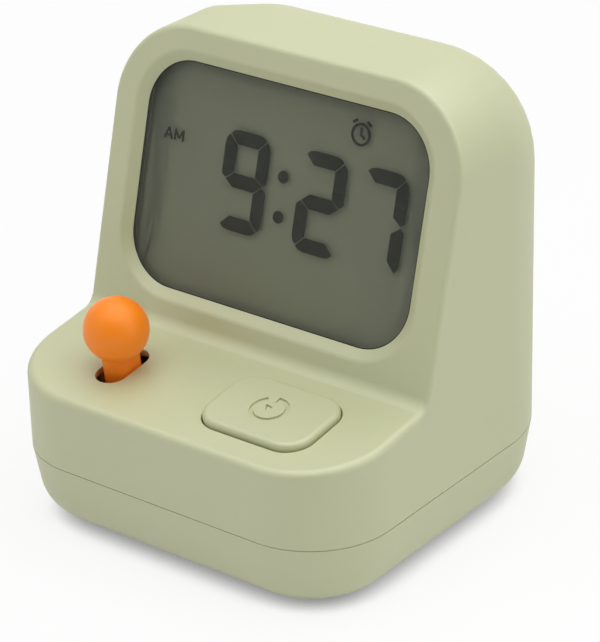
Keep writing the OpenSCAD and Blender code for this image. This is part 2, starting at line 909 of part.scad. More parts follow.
// Bars of a seven-bar digit whose lower left corner is at the origin: a to g, clockwise from the top
module digit(bars) {
    w = digit_w;
    h = digit_h;
    t = bar_w;
    r = 1.1 * bar_w;
    c = r * (1 - cos(45));
    u = r * (1 - cos(67.5));
    v = r * (1 - sin(67.5));
    g = bar_gap * 0.7;
    m = h / 2;
    shapes = [
        ["a", [
            [c + g, h - c], [u, h - v], [r, h], [w - r, h], [w - u, h - v],
            [w - c - g, h - c], [w - t - g, h - t], [t + g, h - t]
        ]],
        ["b", [
            [w - c, h - c - g], [w - v, h - u], [w, h - r], [w, m + c],
            [w - c, m + g], [w - t, m + t / 2 + g], [w - t, h - t - g]
        ]],
        ["c", [
            [w - c, m - g], [w, m - c], [w, r], [w - v, u],
            [w - c, c + g], [w - t, t + g], [w - t, m - t / 2 - g]
        ]],
        ["d", [
            [c + g, c], [u, v], [r, 0], [w - r, 0], [w - u, v],
            [w - c - g, c], [w - t - g, t], [t + g, t]
        ]],
        ["e", [
            [c, m - g], [0, m - c], [0, r], [v, u],
            [c, c + g], [t, t + g], [t, m - t / 2 - g]
        ]],
        ["f", [
            [c, h - c - g], [v, h - u], [0, h - r], [0, m + c],
            [c, m + g], [t, m + t / 2 + g], [t, h - t - g]
        ]],
        ["g", [
            [c + g, m], [t + g / 2, m + t / 2], [w - t - g / 2, m + t / 2],
            [w - c - g, m], [w - t - g / 2, m - t / 2], [t + g / 2, m - t / 2]
        ]]
    ];
    for (shape = shapes)
        if (len(search(shape[0], bars)) > 0)
            polygon(shape[1]);
}

// Alarm clock sign: a ring with two hands and two bells
module alarm_sign() {
    r = 1.78;
    t = 0.42;
    difference() {
        circle(r);
        circle(r - t);
    }
    stroke([0, 1.1], [0, -0.2], t);
    stroke([-0.15, 0.05], [0.8, -0.5], t);
    for (s = [-1, 1])
        stroke([s * 0.9, 2.12], [s * 1.7, 1.6], t);
}

// The letters A and M of the morning sign
module morning_sign() {
    t = 0.31;
    h = 1.75;
    stroke([0, 0], [0.75, h], t);
    stroke([0.75, h], [1.5, 0], t);
    stroke([0.3, 0.55], [1.2, 0.55], t);
    stroke([2.05, 0], [2.05, h], t);
    stroke([2.05, h], [2.85, 0.4], t);
    stroke([2.85, 0.4], [3.65, h], t);
    stroke([3.65, h], [3.65, 0], t);
}

module lcd_segments() {
    low = digit_up - digit_h / 2;
    colon_space = 3;
    digit_space = 2.7;
    sign_in = 3.05;
    sign_top = 4.75;
    color(black)
        on_face(0, 0, rear_glass_n)
            linear_extrude(segment_t) {
                translate([-colon_space - digit_w, low])
                    digit("abcdfg");
                translate([colon_space, low])
                    digit("abged");
                translate([colon_space + digit_w + digit_space, low])
                    digit("abc");
                for (s = [-1, 1])
                    translate([0, digit_up - 0.55 + s * digit_h / 5])
                        circle(colon_r);
                translate([colon_space + digit_w + digit_space / 2, window_h / 2 - sign_top])
                    alarm_sign();
                translate([sign_in - window_w / 2, digit_up + digit_h / 4 - 0.3])
                    morning_sign();
            }
}

module lcd_seal() {
    seal_w = 0.6;
    color("#70756a")
        on_face(0, rear_glass_q, rear_glass_n)
            linear_extrude(segment_t)
                difference() {
                    cut_rect(lcd_w, rear_glass_h, lcd_cut);
                    cut_rect(lcd_w - 2 * seal_w, rear_glass_h - 2 * seal_w, lcd_cut);
                }
}

module lcd_rear_glass() {
    color(glass_tint, 0.4)
        on_face(0, rear_glass_q, reflector_n)
            linear_extrude(glass_t)
                cut_rect(lcd_w, rear_glass_h, lcd_cut);
}

module lcd_reflector() {
    color("#636655")
        on_face(0, rear_glass_q, reflector_n - film_t)
            linear_extrude(film_t)
                cut_rect(lcd_w, rear_glass_h, lcd_cut);
}

module lcd_tray() {
    outer_w = lcd_w + 2 * (lcd_play + tray_wall);
    outer_h = lcd_h + 2 * (lcd_play + tray_wall);
    color(white)
        difference() {
            union() {
                on_face(0, lcd_q, tray_n - tray_t)
                    linear_extrude(tray_t)
                        cut_rect(outer_w, outer_h, tray_cut);
                on_face(0, lcd_q, tray_n - tray_t)
                    linear_extrude(-wall - tray_n + tray_t)
                        difference() {
                            cut_rect(outer_w, outer_h, tray_cut);
                            cut_rect(lcd_w + 2 * lcd_play, lcd_h + 2 * lcd_play, lcd_cut);
                        }
                at_tray_ears(tray_n - tray_t) {
                    cylinder(r = tray_ear_r, h = tray_t);
                    translate([-tray_ear_r, 0, 0])
                        cube([2 * tray_ear_r, tray_ear_r + play + bite, tray_t]);
                }
                at_main_screws(main_n)
                    cylinder(r = tray_ear_r, h = tray_n - main_n);
            }
            on_face(0, zebra_q, tray_n - tray_t - cut)
                linear_extrude(tray_t + 2 * cut)
                    square([zebra_l + 2 * play, zebra_w + 2 * play], center = true);
            at_tray_ears(tray_n - tray_t - cut)
                cylinder(r = screw_r + play, h = tray_t + 2 * cut);
            at_main_screws(main_n - cut)
                cylinder(r = screw_r + seat, h = 2.2 + cut);
        }
}

module tray_screws() {
    color(steel)
        at_tray_ears(tray_n - tray_t)
            rotate([180, 0, 0])
                screw(screw_r, tray_t - 1 - tray_n, screw_head_r, screw_head_h);
}

module zebra_strip() {
    color("#c9a8b0")
        on_face(-zebra_l / 2, zebra_q - zebra_w / 2, main_n)
            cube([zebra_l, zebra_w, segment_n - main_n]);
}

// Main board behind the display

module main_board() {
    color(board_green)
        difference() {
            on_face(0, lcd_q, main_n - board_t)
                linear_extrude(board_t)
                    cut_rect(lcd_w - 4, lcd_h - 0.4, main_board_cut);
            at_main_screws(main_n - board_t - cut)
                cylinder(r = screw_r + play, h = board_t + 2 * cut);
        }
}

module board_screws() {
    color(steel)
        at_main_screws(main_n - board_t)
            rotate([180, 0, 0])
                screw(screw_r, board_t + 2, screw_head_r, screw_head_h);
}

module controller_blob() {
    blob_r = 6;
    blob_h = 1.6;
    color(black)
        on_face(-6, 5, main_n - board_t)
            intersection() {
                translate([0, 0, blob_r - blob_h])
                    sphere(blob_r);
                translate([-blob_r, -blob_r, -blob_h])
                    cube([2 * blob_r, 2 * blob_r, blob_h]);
            }
}

module clock_crystal() {
    can_r = 1;
    can_l = 6;
    color(steel)
        on_face(8, -4, main_n - board_t - can_r)
            rotate([0, 90, 0])
                cylinder(r = can_r, h = can_l);
}

// Small resistors and capacitors on the back of the main board
module board_parts() {
    part_w = 2;
    part_l = 1.25;
    part_h = 0.7;
    color("#c8b48c")
        for (i = [0:3], s = [0, 1])
            on_face(4 + 3.4 * i, 3 + 5 * s, main_n - board_t - part_h)
                translate([-part_w / 2, -part_l / 2, 0])
                    cube([part_w, part_l, part_h]);
}

// Lever

module lever_knob() {
    color(orange)
        on_deck(lever_x, lever_v)
            difference() {
                union() {
                    translate([0, 0, knob_up])
                        sphere(knob_d / 2);
                    translate([0, 0, stem_low])
                        linear_extrude(knob_up - stem_low)
                            stadium(stem_w, stem_l);
                }
                translate([0, 0, stem_low - cut])
                    linear_extrude(neck_top + seat - stem_low + cut)
                        stadium(neck_w + 2 * seat, neck_l + 2 * seat);
            }
}

module lever_rocker() {
    color(white)
        on_deck(lever_x, lever_v, -lever_drop)
            difference() {
                union() {
                    translate([-stem_w / 2, 0, 0])
                        rotate([0, 90, 0])
                            cylinder(r = hub_r, h = stem_w);
                    linear_extrude(lever_drop + neck_top)
                        stadium(neck_w, neck_l);
                    translate([-stem_w / 2, -arm_l, -arm_under])
                        cube([stem_w, 2 * arm_l, arm_under + arm_over]);
                }
                translate([-stem_w / 2 - cut, 0, 0])
                    rotate([0, 90, 0])
                        cylinder(r = axle_r + run, h = stem_w + 2 * cut);
            }
}

module lever_axle() {
    half = ear_in + ear_t;
    color(steel)
        on_deck(lever_x - half, lever_v, -lever_drop)
            rotate([0, 90, 0])
                cylinder(r = axle_r, h = 2 * half);
}

module lever_bracket() {
    open_w = 2 * ear_in;
    open_l = bracket_l - 2;
    color(white)
        difference() {
            union() {
                on_deck(lever_x, lever_v, -bracket_drop - bracket_t)
                    linear_extrude(bracket_t)
                        difference() {
                            square([bracket_w, bracket_l], center = true);
                            square([open_w, open_l], center = true);
                        }
                for (s = [-1, 1])
                    on_deck(lever_x + s * (ear_in + ear_t / 2), lever_v, -lever_drop - ear_under)
                        translate([-ear_t / 2, -ear_under, 0])
                            cube([ear_t, 2 * ear_under, lever_drop + ear_under - bracket_drop]);
            }
            on_deck(lever_x - bracket_w, lever_v, -lever_drop)
                rotate([0, 90, 0])
                    cylinder(r = axle_r + seat, h = 2 * bracket_w);
            at_bracket_bosses(-bracket_drop - bracket_t - cut)
                cylinder(r = screw_r + play, h = bracket_t + 2 * cut);
        }
}

module bracket_screws() {
    color(steel)
        at_bracket_bosses(-bracket_drop - bracket_t)
            rotate([180, 0, 0])
                screw(screw_r, bracket_t + 2.6, screw_head_r, screw_head_h);
}

module lever_springs() {
    color(steel)
        for (s = [-1, 1])
            on_deck(lever_x, lever_v + s * lever_spring_v, -board_drop)
                coil(lever_spring_r, board_drop - lever_drop - arm_under, 3, 0.18);
}

module lever_switches() {
    cap_r = 1.1;
    cap_h = 0.6;
    color(black)
        for (s = [-1, 1])
            on_deck(lever_x, lever_v + s * lever_switch_v, -board_drop) {
                translate([-lever_switch_w / 2, -lever_switch_w / 2, 0])
                    cube([lever_switch_w, lever_switch_w, lever_switch_h - cap_h]);
                cylinder(r = cap_r, h = lever_switch_h);
            }
}

// Deck board and button

module deck_board() {
    half = deck_board_w / 2;
    color(board_green)
        difference() {
            on_deck(0, 0, -board_drop - board_t)
                linear_extrude(board_t)
                    polygon([
                        [-half, deck_board_front + deck_board_cut],
                        [-half + deck_board_cut, deck_board_front],
                        [half - deck_board_cut, deck_board_front],
                        [half, deck_board_front + deck_board_cut],
                        [half, deck_board_rear], [notch_w / 2, deck_board_rear],
                        [notch_w / 2, notch_v], [-notch_w / 2, notch_v],
                        [-notch_w / 2, deck_board_rear], [-half, deck_board_rear]
                    ]);
            at_deck_posts(-board_drop - board_t - cut)
                cylinder(r = screw_r + play, h = board_t + 2 * cut);
            at_case_posts()
                cylinder(r = post_r + 2 * play, h = deck_z);
        }
}

module deck_board_screws() {
    color(steel)
        at_deck_posts(-board_drop - board_t)
            rotate([180, 0, 0])
                screw(screw_r, board_t + 4.5, screw_head_r, screw_head_h);
}

// Round arrow of the timer sign, with a pointer in its middle
module timer_sign() {
    outer = 3.1;
    inner = 2.4;
    barb = 1.65;
    gap_from = 97;
    gap_to = 130;
    t = 0.35;
    difference() {
        circle(outer);
        circle(inner);
        polygon([
            [0, 0], 2 * outer * [cos(gap_from), sin(gap_from)], 2 * outer * [cos(gap_to), sin(gap_to)]
        ]);
    }
    polygon([
        barb * [cos(gap_from), sin(gap_from)],
        outer * [cos(gap_from - 2), sin(gap_from - 2)],
        inner * [cos(gap_from - 18), sin(gap_from - 18)]
    ]);
    stroke([-0.9, 0.75], [-0.2, -0.45], t);
    stroke([-0.9, 0.6], [0.25, 0.3], t);
}

module deck_button() {
    color(sage)
        on_deck(button_x, button_v)
            difference() {
                button_cap();
                translate([sign_x, sign_v, button_up - sign_depth])
                    linear_extrude(sign_depth + cut)
                        timer_sign();
            }
}

module button_cap() {
    chamfer = 0.6;
    translate([0, 0, button_flange_top - thin])
        linear_extrude(button_up - chamfer - button_flange_top + thin)
            rounded_rect(button_w, button_l, button_r);
    hull() {
        translate([0, 0, button_up - chamfer - thin])
            linear_extrude(thin)
                rounded_rect(button_w, button_l, button_r, $fn = form_fn);
        translate([0, 0, button_up - thin])
            linear_extrude(thin)
                rounded_rect(
                    button_w - 2 * chamfer,
                    button_l - 2 * chamfer,
                    button_r - chamfer,
                    $fn = form_fn
                );
    }
    translate([0, 0, button_flange_low])
        linear_extrude(flange_t)
            rounded_rect(button_w + 2 * flange_w, button_l + 2 * flange_w, button_r);
    translate([0, 0, button_stem_low])
        cylinder(r = button_stem_r, h = button_flange_low - button_stem_low + flange_t / 2);
}

module button_switch() {
    color(black)
        on_deck(button_x, button_v, -board_drop)
            switch_body(button_travel);
}

module button_plunger() {
    color(white)
        on_deck(button_x, button_v, -board_drop)
            switch_plunger(board_drop + button_stem_low - switch_h);
}

module button_springs() {
    color(steel)
        for (s = [-1, 1])
            on_deck(button_x + s * button_spring_x, button_v, -board_drop)
                coil(button_spring_r, board_drop + button_flange_low, 7, 0.22);
}

// Flat cable between the boards

module ribbon_plugs() {
    color(white) {
        on_deck(-plug_w / 2, post_front_v + 2.5, -board_drop - board_t - plug_t)
            cube([plug_w, plug_l, plug_t]);
        on_face(-plug_w / 2, lcd_q - lcd_h / 2 + plug_in, main_n - board_t - plug_t)
            cube([plug_w, plug_l, plug_t]);
    }
}

module ribbon_cable() {
    count = 14;
    low_w = -board_drop - board_t - plug_t + ribbon_t;
    high_n = main_n - board_t - plug_t / 2;
    high_q = lcd_q - lcd_h / 2 + plug_in;
    p = [
        deck_point(0, post_front_v + 2.5 + plug_l, low_w),
        deck_point(0, post_front_v + 2.5 + plug_l + 7.5, low_w),
        face_point(0, high_q - 8, high_n),
        face_point(0, high_q, high_n)
    ];
    line = [for (i = [0:count]) let (b = bezier(p, i / count)) [b.y, b.z]];
    steps = [for (i = [0:count]) let (t = i / count) bezier_way(p, t)];
    ways = [for (w = steps) [w.y, w.z]];
    side = [for (w = ways) [-w.y, w.x] / norm(w) * ribbon_t / 2];
    color("#c8c8c4")
        translate([-ribbon_w / 2, 0, 0])
            rotate([90, 0, 90])
                linear_extrude(ribbon_w)
                    polygon(concat(
                        [for (i = [0:count]) line[i] + side[i]],
                        [for (i = [count:-1:0]) line[i] - side[i]]
                    ));
}

// Buzzer

module buzzer_disc() {
    color(brass)
        on_rear(0, buzzer_z, wall + buzzer_ring_h)
            cylinder(r = buzzer_r, h = buzzer_t);
}

module buzzer_ceramic() {
    color(white)
        on_rear(0, buzzer_z, wall + buzzer_ring_h + buzzer_t)
            cylinder(r = buzzer_r * 0.7, h = buzzer_t / 2);
}

// Rear keys

module rear_key(s) {
    on_rear(s * rear_key_x, rear_key_z) {
        translate([0, 0, key_recess])
            cylinder(r = rear_key_r, h = rear_flange_top + flange_t - key_recess);
        translate([0, 0, rear_flange_top])
            cylinder(r = rear_key_r + flange_w, h = flange_t);
        translate([0, 0, rear_flange_top])
            cylinder(r = rear_stem_r, h = rear_stem_low - rear_flange_top);
    }
}

module rear_plunger(s) {
    on_rear(s * rear_key_x, rear_key_z, rear_board_drop)
        rotate([180, 0, 0])
            switch_plunger(rear_board_drop - rear_stem_low - switch_h);
}

module set_key() {
    color(sage)
        rear_key(-1);
}

module set_plunger() {
    color(white)
        rear_plunger(-1);
}

module alarm_key() {
    color(sage)
        rear_key(1);
}

module alarm_plunger() {
    color(white)
        rear_plunger(1);
}

module rear_key_board() {
    color(board_green)
        difference() {
            on_rear(0, rear_key_z, rear_board_drop)
                translate([-rear_board_w / 2, -rear_board_h / 2, 0])
                    cube([rear_board_w, rear_board_h, board_t]);
            at_rear_posts(rear_board_drop - cut)
                cylinder(r = screw_r + play, h = board_t + 2 * cut);
        }
}

module rear_switches() {
    color(black)
        at_rear_keys(rear_board_drop)
            rotate([180, 0, 0])
                switch_body(rear_key_travel);
}

module rear_board_screws() {
    color(steel)
        at_rear_posts(rear_board_drop + board_t)
            screw(screw_r, board_t + 3.5, screw_head_r, screw_head_h);
}

// Batteries

// AAA cell along X, with its button towards the side s
module cell(s) {
    button_l = 1;
    button_r = 1.9;
    translate([0, battery_y - s * cell_pitch / 2, cell_z])
        rotate([0, s * 90, 0]) {
            translate([0, 0, -cell_l / 2])
                cylinder(r = cell_r, h = cell_l - button_l);
            translate([0, 0, -cell_l / 2])
                cylinder(r = button_r, h = cell_l);
        }
}

module aaa_cell_front() {
    color("#8a8f92")
        cell(1);
}

module aaa_cell_rear() {
    color("#8a8f92")
        cell(-1);
}

// Contact plate against the bay's end wall on the side s, from y0 to y1 around the bay's middle
module contact_plate(s, y0, y1) {
    x = s > 0 ? bay_w / 2 - contact_t : -bay_w / 2;
    translate([x, battery_y + y0, cell_z - cell_r + 1])
        cube([contact_t, y1 - y0, 2 * cell_r - 2]);
}

// Pressed boss that meets a cell's button on the side s
module contact_boss(s, y) {
    translate([s * (bay_w / 2 - contact_t), battery_y + y, cell_z])
        rotate([0, -s * 90, 0])
            cylinder(r = 2, h = contact_room);
}

// Coil that meets a cell's flat end on the side s
module contact_coil(s, y) {
    sunk = 0.15;
    translate([s * (bay_w / 2 - contact_t + sunk), battery_y + y, cell_z])
        rotate([0, -s * 90, 0])
            coil(3, contact_room + sunk, 3, 0.2);
}

module contact_positive() {
    y = -cell_pitch / 2;
    color(brass) {
        contact_plate(1, y - 4, y + 4);
        contact_boss(1, y);
    }
}

module contact_negative() {
    y = cell_pitch / 2;
    color(steel) {
        contact_plate(1, y - 4, y + 4);
        contact_coil(1, y);
    }
}

module contact_link() {
    y = cell_pitch / 2;
    color(steel) {
        contact_plate(-1, -y - 4, y + 4);
        contact_boss(-1, y);
        contact_coil(-1, -y);
    }
}

module battery_leads() {
    x = bay_w / 2 - contact_t - lead_r;
    color(copper)
        for (s = [-1, 1])
            let (
                y = battery_y + s * cell_pitch / 2,
                end = face_point(16 + 2 * s, -12, main_n - board_t - lead_r)
            )
                lead([
                    [x, y, cell_z + cell_r - 1.6],
                    [x, y, bay_top + 12],
                    end + [0, 6, -8],
                    end
                ]);
}

upper_shell();
base_cover();
battery_door();
lcd_gasket();
lcd_front_film();
lcd_front_glass();
lcd_segments();
lcd_seal();
lcd_rear_glass();
lcd_reflector();
lcd_tray();
tray_screws();
zebra_strip();
main_board();
controller_blob();
clock_crystal();
board_parts();
board_screws();
lever_knob();
lever_rocker();
lever_axle();
lever_bracket();
bracket_screws();
lever_springs();
lever_switches();
deck_board();
deck_board_screws();
deck_button();
button_plunger();
button_switch();
button_springs();
ribbon_plugs();
ribbon_cable();
buzzer_disc();
buzzer_ceramic();
set_key();
set_plunger();
alarm_key();
alarm_plunger();
rear_key_board();
rear_switches();
rear_board_screws();
aaa_cell_front();
aaa_cell_rear();
contact_positive();
contact_negative();
contact_link();
battery_leads();
rubber_feet();
case_screws();
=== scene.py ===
"""Digital alarm clock shaped like a small arcade cabinet: its look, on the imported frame."""

import json
import math

import bmesh
import bpy
from mathutils import Matrix, Vector


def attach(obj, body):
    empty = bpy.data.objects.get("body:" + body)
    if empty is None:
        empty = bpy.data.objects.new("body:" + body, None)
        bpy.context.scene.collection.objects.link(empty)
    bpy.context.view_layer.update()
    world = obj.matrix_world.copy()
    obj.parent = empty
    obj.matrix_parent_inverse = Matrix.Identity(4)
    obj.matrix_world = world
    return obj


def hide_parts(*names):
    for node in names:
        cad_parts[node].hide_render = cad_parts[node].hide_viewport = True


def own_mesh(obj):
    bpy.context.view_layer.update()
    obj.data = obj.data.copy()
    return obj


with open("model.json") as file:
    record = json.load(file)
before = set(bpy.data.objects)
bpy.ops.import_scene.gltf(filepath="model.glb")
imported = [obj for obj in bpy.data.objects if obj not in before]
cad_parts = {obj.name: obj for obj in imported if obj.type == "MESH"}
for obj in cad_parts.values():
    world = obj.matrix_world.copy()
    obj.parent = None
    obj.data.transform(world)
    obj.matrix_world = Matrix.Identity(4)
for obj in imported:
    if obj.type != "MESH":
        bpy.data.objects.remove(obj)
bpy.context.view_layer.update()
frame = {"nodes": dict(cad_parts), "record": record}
scene = bpy.context.scene

# All lengths are in metres

# Body
BODY_W, BODY_D, BODY_H = 0.066, 0.0655, 0.0735
FRONT_Y, REAR_Y = -BODY_D / 2, BODY_D / 2
WALL = 0.002
FRONT_R, REAR_R, REAR_TOP_R = 0.014, 0.019, 0.0178
# Radius at the underside, and how far the walls draw in down to it
RIM_R, RIM_IN = 0.0064, 0.0009
# The shell and the cover meet in a hairline seam
SHELL_Z, COVER_Z = 0.01204, 0.01196
FOOT_H = 0.0006
DECK_Z, DECK_SLOPE, DECK_EDGE_R = 0.0246, math.radians(7.8), 0.0012
FACE_Y, SCREEN_Z, SCREEN_LEAN = FRONT_Y + 0.030, 0.0509, math.radians(15)
FACE_TOP_R, FACE_EDGE_R = 0.0138, 0.0008
# Radius of the soft inner corner between the deck and the screen face
NOOK_R = 0.0016
# Middle and radius of the four corners in plan
CORNERS = [(s * (BODY_W / 2 - r), y, r) for s in (-1, 1)
           for y, r in ((FRONT_Y + FRONT_R, FRONT_R), (REAR_Y - REAR_R, REAR_R))]

# Body before its notch is cut: height of the front, and how far the face's corners lie
# behind their edge rounding and are drawn forward
FRONT_TOP, CORNER_BACK, CORNER_AHEAD = 0.034, 0.0006, 0.009
# Ends of the notch, clear of the body
NOTCH_FRONT, NOTCH_TOP, NOTCH_SIDE = -0.06, 0.1, 0.045

# Window, its bevel and the seat of the display behind it
WINDOW_X, WINDOW_Q = -0.0002, -0.00012
WINDOW_W, WINDOW_H, WINDOW_R = 0.0537, 0.036235, 0.0084
BEVEL_W, BEVEL_DEPTH = 0.0017, 0.0012
SEAT_W, SEAT_H, SEAT_Q, SEAT_CUT, REBATE = 0.0552, 0.040435, -0.00125, 0.0045, 0.00125
# Gasket: depth of the film that it lies on, gap to the seat, and the line of it that shows
FILM_N, GASKET_GAP, GASKET_SHOW = 0.0013, 0.00001, 0.00015

# Lever and button on the deck
LEVER_X, LEVER_V = -0.0159, 0.0118
SLOT_W, SLOT_L = 0.0052, 0.0102
# Step that thins the wall around the slot from below
RELIEF = 0.0009
STEM_W, STEM_L, STEM_DOWN = 0.0043, 0.0066, 0.0045
KNOB_R, KNOB_UP = 0.00515, 0.0067
BUTTON_X, BUTTON_V = 0.0131, 0.0121
BUTTON_W, BUTTON_L, BUTTON_R = 0.0196, 0.0141, 0.0042
BUTTON_UP, BUTTON_DOWN = 0.0011, 0.0025
# Flange that keeps the button under the deck
FLANGE_OUT, FLANGE_LOW, FLANGE_HIGH = 0.001, -0.00323, -0.00203
PLAY = 0.0002
# Depth of the deck board below the deck
BOARD_DROP = 0.0124
# How far the springs on it lie to the sides of the button, and before and behind the lever
BUTTON_SPRING_X, LEVER_SPRING_V = 0.0066, 0.0035

# Timer sign on the button: an open ring that ends in a barb, and a pointer of two strokes
SIGN_X, SIGN_V, SIGN_DEPTH = -0.0003, 0.0, 0.00035
SIGN_OUTER, SIGN_INNER, SIGN_BARB, SIGN_LINE = 0.0031, 0.0024, 0.00165, 0.00035
SIGN_GAP = math.radians(97), math.radians(130)
# Turn of the barb's outer and inner corner from the ring's end, in radians
BARB_TURN = 0.035, 0.31
POINTER = [((-0.0009, 0.00075), (-0.0002, -0.00045)), ((-0.0009, 0.0006), (0.00025, 0.0003))]

# Rear wall
KEY_X, KEY_Z, KEY_R = 0.008, 0.021, 0.003
SOUND_Z, SOUND_R, SOUND_RING, SOUND_COUNT = 0.042, 0.0008, 0.004, 6

# Underside: battery bay, door with its grip, contacts, lip, screws and feet
BAY_Y, BAY_W, BAY_L, BAY_TOP, BAY_WALL = 0.005, 0.0513, 0.0225, 0.0134, 0.0014
DOOR_W, BEAD_Y, BEAD_Z, STUB_R, STUB_L = 0.0465, -0.00475, 0.0018, 0.00066, 0.001
GRIP_R, GRIP_DEPTH = 0.004, 0.0008
CELL_Z, CELL_R, CELL_PITCH = 0.00785, 0.00525, 0.011
CONTACT_T, CONTACT_ROOM, COIL_R, WIRE_R, COIL_TURNS = 0.0004, 0.003, 0.003, 0.0002, 3
PLATE_HALF, PLATE_IN, PLATE_R, BOSS_R, BOSS_EDGE = 0.004, 0.001, 0.001, 0.002, 0.0006
LIP_IN, LIP_T, LIP_H, LIP_SUNK = 0.00225, 0.0009, 0.002, 0.0001
SCREW_IN, COLUMN_R, HEAD_R, HEAD_SEAT = 0.0076, 0.0034, 0.0019, 0.007
SHAFT_R, SHAFT_TOP = 0.0012, 0.014
FEET = [(-0.0175, -0.01875), (0.0175, -0.01875), (-0.0155, 0.0191), (0.0155, 0.0191)]
FOOT_R, FOOT_SUNK = 0.00243, 0.0004

# Reach of the cuts, each from a level below to one above in its own frame
DECK_CUT, REAR_CUT, LIP_CUT = (-0.004, 0.002), (-0.002, 0.006), (0.005, 0.02)
SEAT_LOW, WINDOW_LOW, WINDOW_OVER = -0.005, -0.006, 0.0003
UNDER, DOOR_TOP, SIGN_OVER, PAST_SEAM = -0.001, 0.005, 0.001, 0.002

# Widths of softened edges
WINDOW_SOFT, BEVEL_SOFT, SLOT_SOFT, HOLE_SOFT = 0.0004, 0.00005, 0.0003, 0.00015
REAR_SOFT, SEAM_SOFT, COVER_SOFT = 0.0002, 0.00006, 0.00015
KNOB_SOFT, CAP_SOFT, SIGN_SOFT = 0.0004, 0.0008, 0.00016

# Segments of a full circle, on the outside and on inner walls
OUTER, INNER = 96, 32
# A fully rounded end stays this much short of half its width
HAIR = 1e-6
# Points closer than this lie on one level, and points closer than the next are one
LEVEL_NEAR, POINT_NEAR = 3e-6, 1e-7
# How far the search for an edge reaches past it, and how far out an outer wall lies at least
MARGIN, WALL_OUT = 0.0004, 0.004


def at(x, y, z):
    return Matrix.Translation((x, y, z))


def turned(angle, axis):
    return Matrix.Rotation(angle, 4, axis)


QUARTER = math.pi / 2
DECK = at(0, FRONT_Y, DECK_Z) @ turned(DECK_SLOPE, "X")
FACE = at(0, FACE_Y, SCREEN_Z) @ turned(QUARTER - SCREEN_LEAN, "X")
REAR = at(0, REAR_Y, 0) @ turned(QUARTER, "X")
WINDOW = FACE @ at(WINDOW_X, WINDOW_Q, 0)
SEAT = FACE @ at(0, SEAT_Q, 0)
LEVER = DECK @ at(LEVER_X, LEVER_V, 0)
BUTTON = DECK @ at(BUTTON_X, BUTTON_V, 0)
HERE = Matrix()


# Shapes

def placed(bm, place):
    """The shape with its faces turned outward, moved to its place."""
    bmesh.ops.recalc_face_normals(bm, faces=bm.faces[:])
    bmesh.ops.transform(bm, matrix=place, verts=bm.verts[:])
    return bm


def circle(radius, place, segments):
    bm = bmesh.new()
    bmesh.ops.create_circle(bm, segments=segments, radius=radius, matrix=place)
    return bm


def rod(radius, low, high, place, segments=48):
    bm = bmesh.new()
    bmesh.ops.create_cone(bm, cap_ends=True, segments=segments, radius1=radius, radius2=radius,
                          depth=high - low, matrix=place @ at(0, 0, (low + high) / 2))
    return bm


def block(low, high):
    bm = bmesh.new()
    middle = [(a + b) / 2 for a, b in zip(low, high)]
    size = [b - a for a, b in zip(low, high)]
    bmesh.ops.create_cube(bm, size=1, matrix=at(*middle) @ Matrix.Diagonal((*size, 1)))
    return bm


def ball(radius, place, segments):
    bm = bmesh.new()
    bmesh.ops.create_uvsphere(bm, u_segments=segments, v_segments=segments // 2,
                              radius=radius, matrix=place)
    return bm


def swept(bm, geom, angle, steps, rise=0.0, closed=False):
    """Turn a shape about the Z axis, with a rise at each step."""
    bmesh.ops.spin(bm, geom=geom, cent=(0, 0, 0), axis=(0, 0, 1), dvec=(0, 0, rise),
                   angle=angle, steps=steps, use_merge=closed)


def half_ring(major, tube, place, segments):
    """Lower half of a ring."""
    bm = bmesh.new()
    bmesh.ops.create_circle(bm, segments=segments // 2, radius=tube,
                            matrix=at(major, 0, 0) @ turned(QUARTER, "X"))
    bmesh.ops.bisect_plane(bm, geom=bm.verts[:] + bm.edges[:], dist=POINT_NEAR,
                           plane_co=(0, 0, 0), plane_no=(0, 0, 1), clear_outer=True)
    swept(bm, bm.verts[:] + bm.edges[:], 2 * math.pi, segments, closed=True)
    bmesh.ops.transform(bm, matrix=place, verts=bm.verts[:])
    return bm


def pull(bm, faces, way):
    """Draw faces out into a solid."""
    grown = bmesh.ops.extrude_face_region(bm, geom=faces)["geom"]
    verts = [g for g in grown if isinstance(g, bmesh.types.BMVert)]
    bmesh.ops.translate(bm, verts=verts, vec=way)


def prism(points, low, high, place):
    bm = bmesh.new()
    face = bm.faces.new([bm.verts.new((*p, low)) for p in points])
    pull(bm, [face], (0, 0, high - low))
    return placed(bm, place)


def arc_bar(inner, outer, low, high, start, end, place, steps=80):
    """Flat bar bent into an arc."""
    bm = bmesh.new()
    section = (inner, low), (outer, low), (outer, high), (inner, high)
    face = bm.faces.new([bm.verts.new((r, 0, z)) for r, z in section])
    bmesh.ops.rotate(bm, verts=bm.verts[:], cent=(0, 0, 0), matrix=Matrix.Rotation(start, 3, "Z"))
    swept(bm, [face, *face.edges, *face.verts], end - start, steps)
    return placed(bm, place)


def helix(radius, wire, height, turns, place, steps=24):
    """Round wire wound from z = 0 to its height."""
    bm = bmesh.new()
    made = bmesh.ops.create_circle(bm, cap_ends=True, segments=10, radius=wire,
                                   matrix=at(radius, 0, wire) @ turned(QUARTER, "X"))
    face = made["verts"][0].link_faces[0]
    swept(bm, [face, *face.edges, *face.verts], 2 * math.pi * turns, turns * steps,
          rise=(height - 2 * wire) / (turns * steps))
    return placed(bm, place)


def round_corners(bm, corners, radius, segments):
    bmesh.ops.bevel(bm, geom=corners, offset=radius, offset_type="OFFSET", affect="VERTICES",
                    segments=segments, profile=0.5, material=-1)
    bm.faces.ensure_lookup_table()


